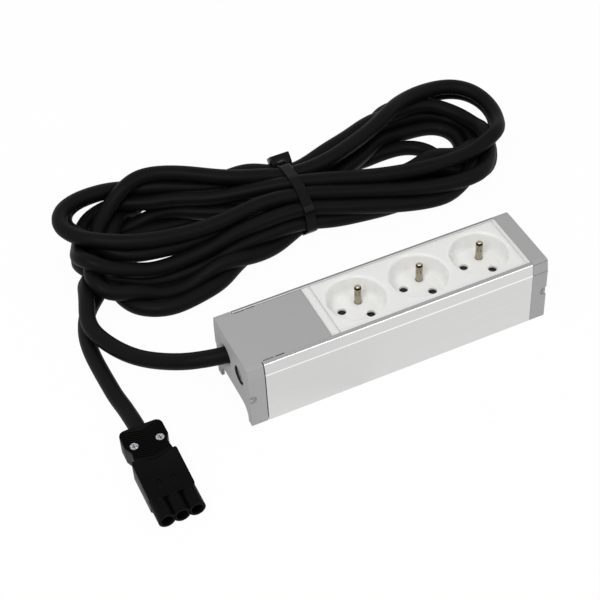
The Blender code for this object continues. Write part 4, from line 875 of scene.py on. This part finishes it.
def grey_abs():
    """ABS moulded in an eroded tool: mid grey, dull, with a fine even grain, and with painted shade in
    places.
    """
    made, tree, shader = material("grey_abs", IOR=1.53, Specular_IOR_Level=0.3, Roughness=0.58)
    place = node(tree, "ShaderNodeTexCoord").outputs["Object"]
    grain = noise(tree, place, 1500.0)
    patches = noise(tree, place, 25.0)
    shade = two_shades(tree, patches, "#a5a5a5", "#aaaaaa")
    axes = node(tree, "ShaderNodeSeparateXYZ", {0: place}).outputs
    aside = node(tree, "ShaderNodeCombineXYZ", {"Y": axes["Y"], "Z": axes["Z"]})
    from_outlet = node(tree, "ShaderNodeVectorMath", {0: aside.outputs[0], 1: (0, *SPARE_OUTLET)},
                       operation="DISTANCE").outputs["Value"]
    # Painted shade: the spare outlet's bore is near black.
    outlet_shade = between(tree, from_outlet, FAR_BELOW, OUTLET_SHADE_RADIUS)
    outlet_shade = both(tree, outlet_shade, between(tree, axes["X"], *OUTLET_SHADE_X))
    off_middle = node(tree, "ShaderNodeMath", {0: axes["Y"]}, operation="ABSOLUTE").outputs[0]
    # Painted shade: narrow strips on the cover's top, beside the lips, are near black.
    latch_shade = both(tree, between(tree, axes["X"], *LATCH_X), between(tree, axes["Z"], *COVER_TOP_Z))
    latch_shade = both(tree, latch_shade, between(tree, off_middle, *LATCH_Y))
    # Painted shade: two thin lines round the right cap, level with the channel's bend and lip edge, are dark.
    lower, upper = [between(tree, axes["Z"], *limits) for limits in CAP_SHADE_LINES_Z]
    lines = both(tree, math_node(tree, lower, upper, "ADD"), between(tree, axes["X"], *CAP_X))
    shown = laid_over(tree, shade, outlet_shade, "#060606")
    shown = laid_over(tree, shown, latch_shade, "#0a0a0a")
    shown = laid_over(tree, shown, lines, "#6c6c6c")
    tree.links.new(shown, shader.inputs["Base Color"])
    raised(tree, shader, grain, 0.18, 0.00006)
    return made


finish_nodes(grey_abs(), "left_cover", "right_end_cap")
finish_nodes(polyamide, "terminal_carrier", "cord_clamp")
finish_nodes(zinc_plate("zinc_plate", "#c3c6cc"),
             "cap_screw_1", "cap_screw_2", "clamp_screw_1", "clamp_screw_2",
             *[f"terminal_screw_{core}" for core in ("live", "neutral", "earth")],
             *[f"shutter_spring_{number}" for number in (1, 2, 3)])


# The socket insert is one white polycarbonate moulding with three wells, clipped under the channel's lips.
# A closed base behind it carries the contacts.
# Below this height the wells are painted lighter, as painted light.
WELL_LIGHT_TOP = 0.0506


def white_polycarbonate():
    """White polycarbonate from a polished tool: a soft gloss, light that passes a little way into it, and
    painted light in the wells.
    """
    made, tree, shader = material("white_polycarbonate", IOR=1.58, Specular_IOR_Level=0.4, Roughness=0.30,
                                  Subsurface_Weight=0.6, Subsurface_Scale=0.005,
                                  Subsurface_Radius=(1, 1, 1))
    place = node(tree, "ShaderNodeTexCoord").outputs["Object"]
    patches = noise(tree, place, 30.0)
    shade = two_shades(tree, patches, "#f0f0ee", "#f3f3f1")
    height = node(tree, "ShaderNodeSeparateXYZ", {0: place}).outputs["Z"]
    # Painted light: the wells, below their rim, are lighter than the top.
    shown = laid_over(tree, shade, between(tree, height, FAR_BELOW, WELL_LIGHT_TOP), "#fdfdfa")
    tree.links.new(shown, shader.inputs["Base Color"])
    flow = noise(tree, place, 300.0, 1.0)
    raised(tree, shader, flow, 0.05, 0.0001)
    return made


def dark_shutter():
    """The shutters and the plate behind them, in charcoal PBT with a dull eroded face."""
    made, tree, shader = material("charcoal_pbt", IOR=1.55, Specular_IOR_Level=0.3, Roughness=0.55)
    place = node(tree, "ShaderNodeTexCoord").outputs["Object"]
    grain = noise(tree, place, 900.0)
    shade = two_shades(tree, grain, "#101010", "#181818")
    tree.links.new(shade, shader.inputs["Base Color"])
    return made


finish_nodes(white_polycarbonate(), "socket_face", "socket_base")
finish_nodes(dark_shutter(), "contact_plate", "shutter_1", "shutter_2", "shutter_3")


# The current path inside is stamped brass bars and turned brass terminals, with three insulated cores. The
# bars lie in the socket base, and each core's end is clamped under its terminal's screw.
def stamped_brass():
    """Bare brass strip, rolled and stamped: warm yellow, with rolling lines and a dull film."""
    made, tree, shader = material("stamped_brass", Metallic=1.0, Roughness=0.34)
    place = node(tree, "ShaderNodeTexCoord").outputs["Object"]
    rolled = node(tree, "ShaderNodeVectorMath", {0: place, 1: (8, 1200, 1200)}, operation="MULTIPLY")
    lines = noise(tree, rolled.outputs[0], 1.0)
    shade = two_shades(tree, lines, "#b8944a", "#cba75c")
    tree.links.new(shade, shader.inputs["Base Color"])
    return made


def core_pvc(name, colour, second):
    """PVC core insulation: smooth, a little glossy, with its colour slightly uneven."""
    made, tree, shader = material(name, IOR=1.53, Specular_IOR_Level=0.4, Roughness=0.38)
    place = node(tree, "ShaderNodeTexCoord").outputs["Object"]
    stripes = noise(tree, place, 300.0)
    shade = two_shades(tree, stripes, colour, second)
    tree.links.new(shade, shader.inputs["Base Color"])
    return made


finish_nodes(stamped_brass(), "live_bar", "neutral_bar", "earth_bar",
             "terminal_live", "terminal_neutral", "terminal_earth")
finish_nodes(core_pvc("brown_core", "#5f3a22", "#6b4429"), "live_wire")
finish_nodes(core_pvc("blue_core", "#2f5fa8", "#386ab4"), "neutral_wire")
finish_nodes(core_pvc("green_core", "#4f8b2f", "#9aa52c"), "earth_wire")


# The floor is a plain white sheet that keeps a faint shadow, and the room beyond it is white. Both are
# bright where they are seen, straight or mirrored, and give the pieces a weaker light.
FLOOR_HALF = 3.0
FLOOR_DROP = 0.0001
FLOOR_GLOW = 0.97
ROOM_LIGHT = 0.56


def seen_directly(tree, *rays):
    """1 on rays of these kinds, and 0 on those that only carry light to the pieces."""
    path = node(tree, "ShaderNodeLightPath")
    seen = path.outputs[rays[0]]
    for ray in rays[1:]:
        seen = math_node(tree, seen, path.outputs[ray], "MAXIMUM")
    return seen


bpy.ops.mesh.primitive_plane_add(size=2 * FLOOR_HALF, location=(0, 0, -FLOOR_DROP))
floor = bpy.context.object
floor.name = "floor"
paper, tree, shader = material("white_paper", Roughness=0.9, Specular_IOR_Level=0.1)
shader.inputs["Base Color"].default_value = linear("#f4f4f4")
share = math_node(tree, seen_directly(tree, "Is Camera Ray", "Is Glossy Ray"), FLOOR_GLOW, "MULTIPLY")
white = node(tree, "ShaderNodeEmission", {"Color": (1, 1, 1, 1), "Strength": 1.0})
sheet = node(tree, "ShaderNodeMixShader", {0: share, 1: shader.outputs[0], 2: white.outputs[0]})
tree.links.new(sheet.outputs[0], tree.nodes["Material Output"].inputs["Surface"])
floor.data.materials.append(paper)

world = bpy.data.worlds.new("white_room")
world.use_nodes = True
bpy.context.scene.world = world
tree = world.node_tree
seen = seen_directly(tree, "Is Camera Ray", "Is Glossy Ray", "Is Transmission Ray")
level = node(tree, "ShaderNodeMapRange", {"Value": seen, "To Min": ROOM_LIGHT, "To Max": 1.0})
background = tree.nodes["Background"]
background.inputs["Color"].default_value = (1, 1, 1, 1)
tree.links.new(level.outputs[0], background.inputs["Strength"])


# Two soft lamps: a wide one above on the left in front, which shades the sockets' wells, and a smaller,
# weaker one in front on the right, which draws a streak along the tie and the cord.
LAMP_TARGET = (0, 0.05, 0)


def soft_lamp(name, place, size, power):
    """A round lamp at the place, turned to the block."""
    lamp = bpy.data.objects.new(name, bpy.data.lights.new(name, "AREA"))
    lamp.data.shape = "DISK"
    lamp.data.size = size
    lamp.data.energy = power
    lamp.location = place
    lamp.rotation_euler = (Vector(LAMP_TARGET) - Vector(place)).to_track_quat("-Z", "Y").to_euler()
    bpy.context.scene.collection.objects.link(lamp)


soft_lamp("key_lamp", place=(-0.75, -0.55, 1.25), size=0.5, power=8.0)
soft_lamp("side_lamp", place=(0.45, -1.1, 1.1), size=0.35, power=3.0)

bpy.context.scene.view_settings.view_transform = "Standard"
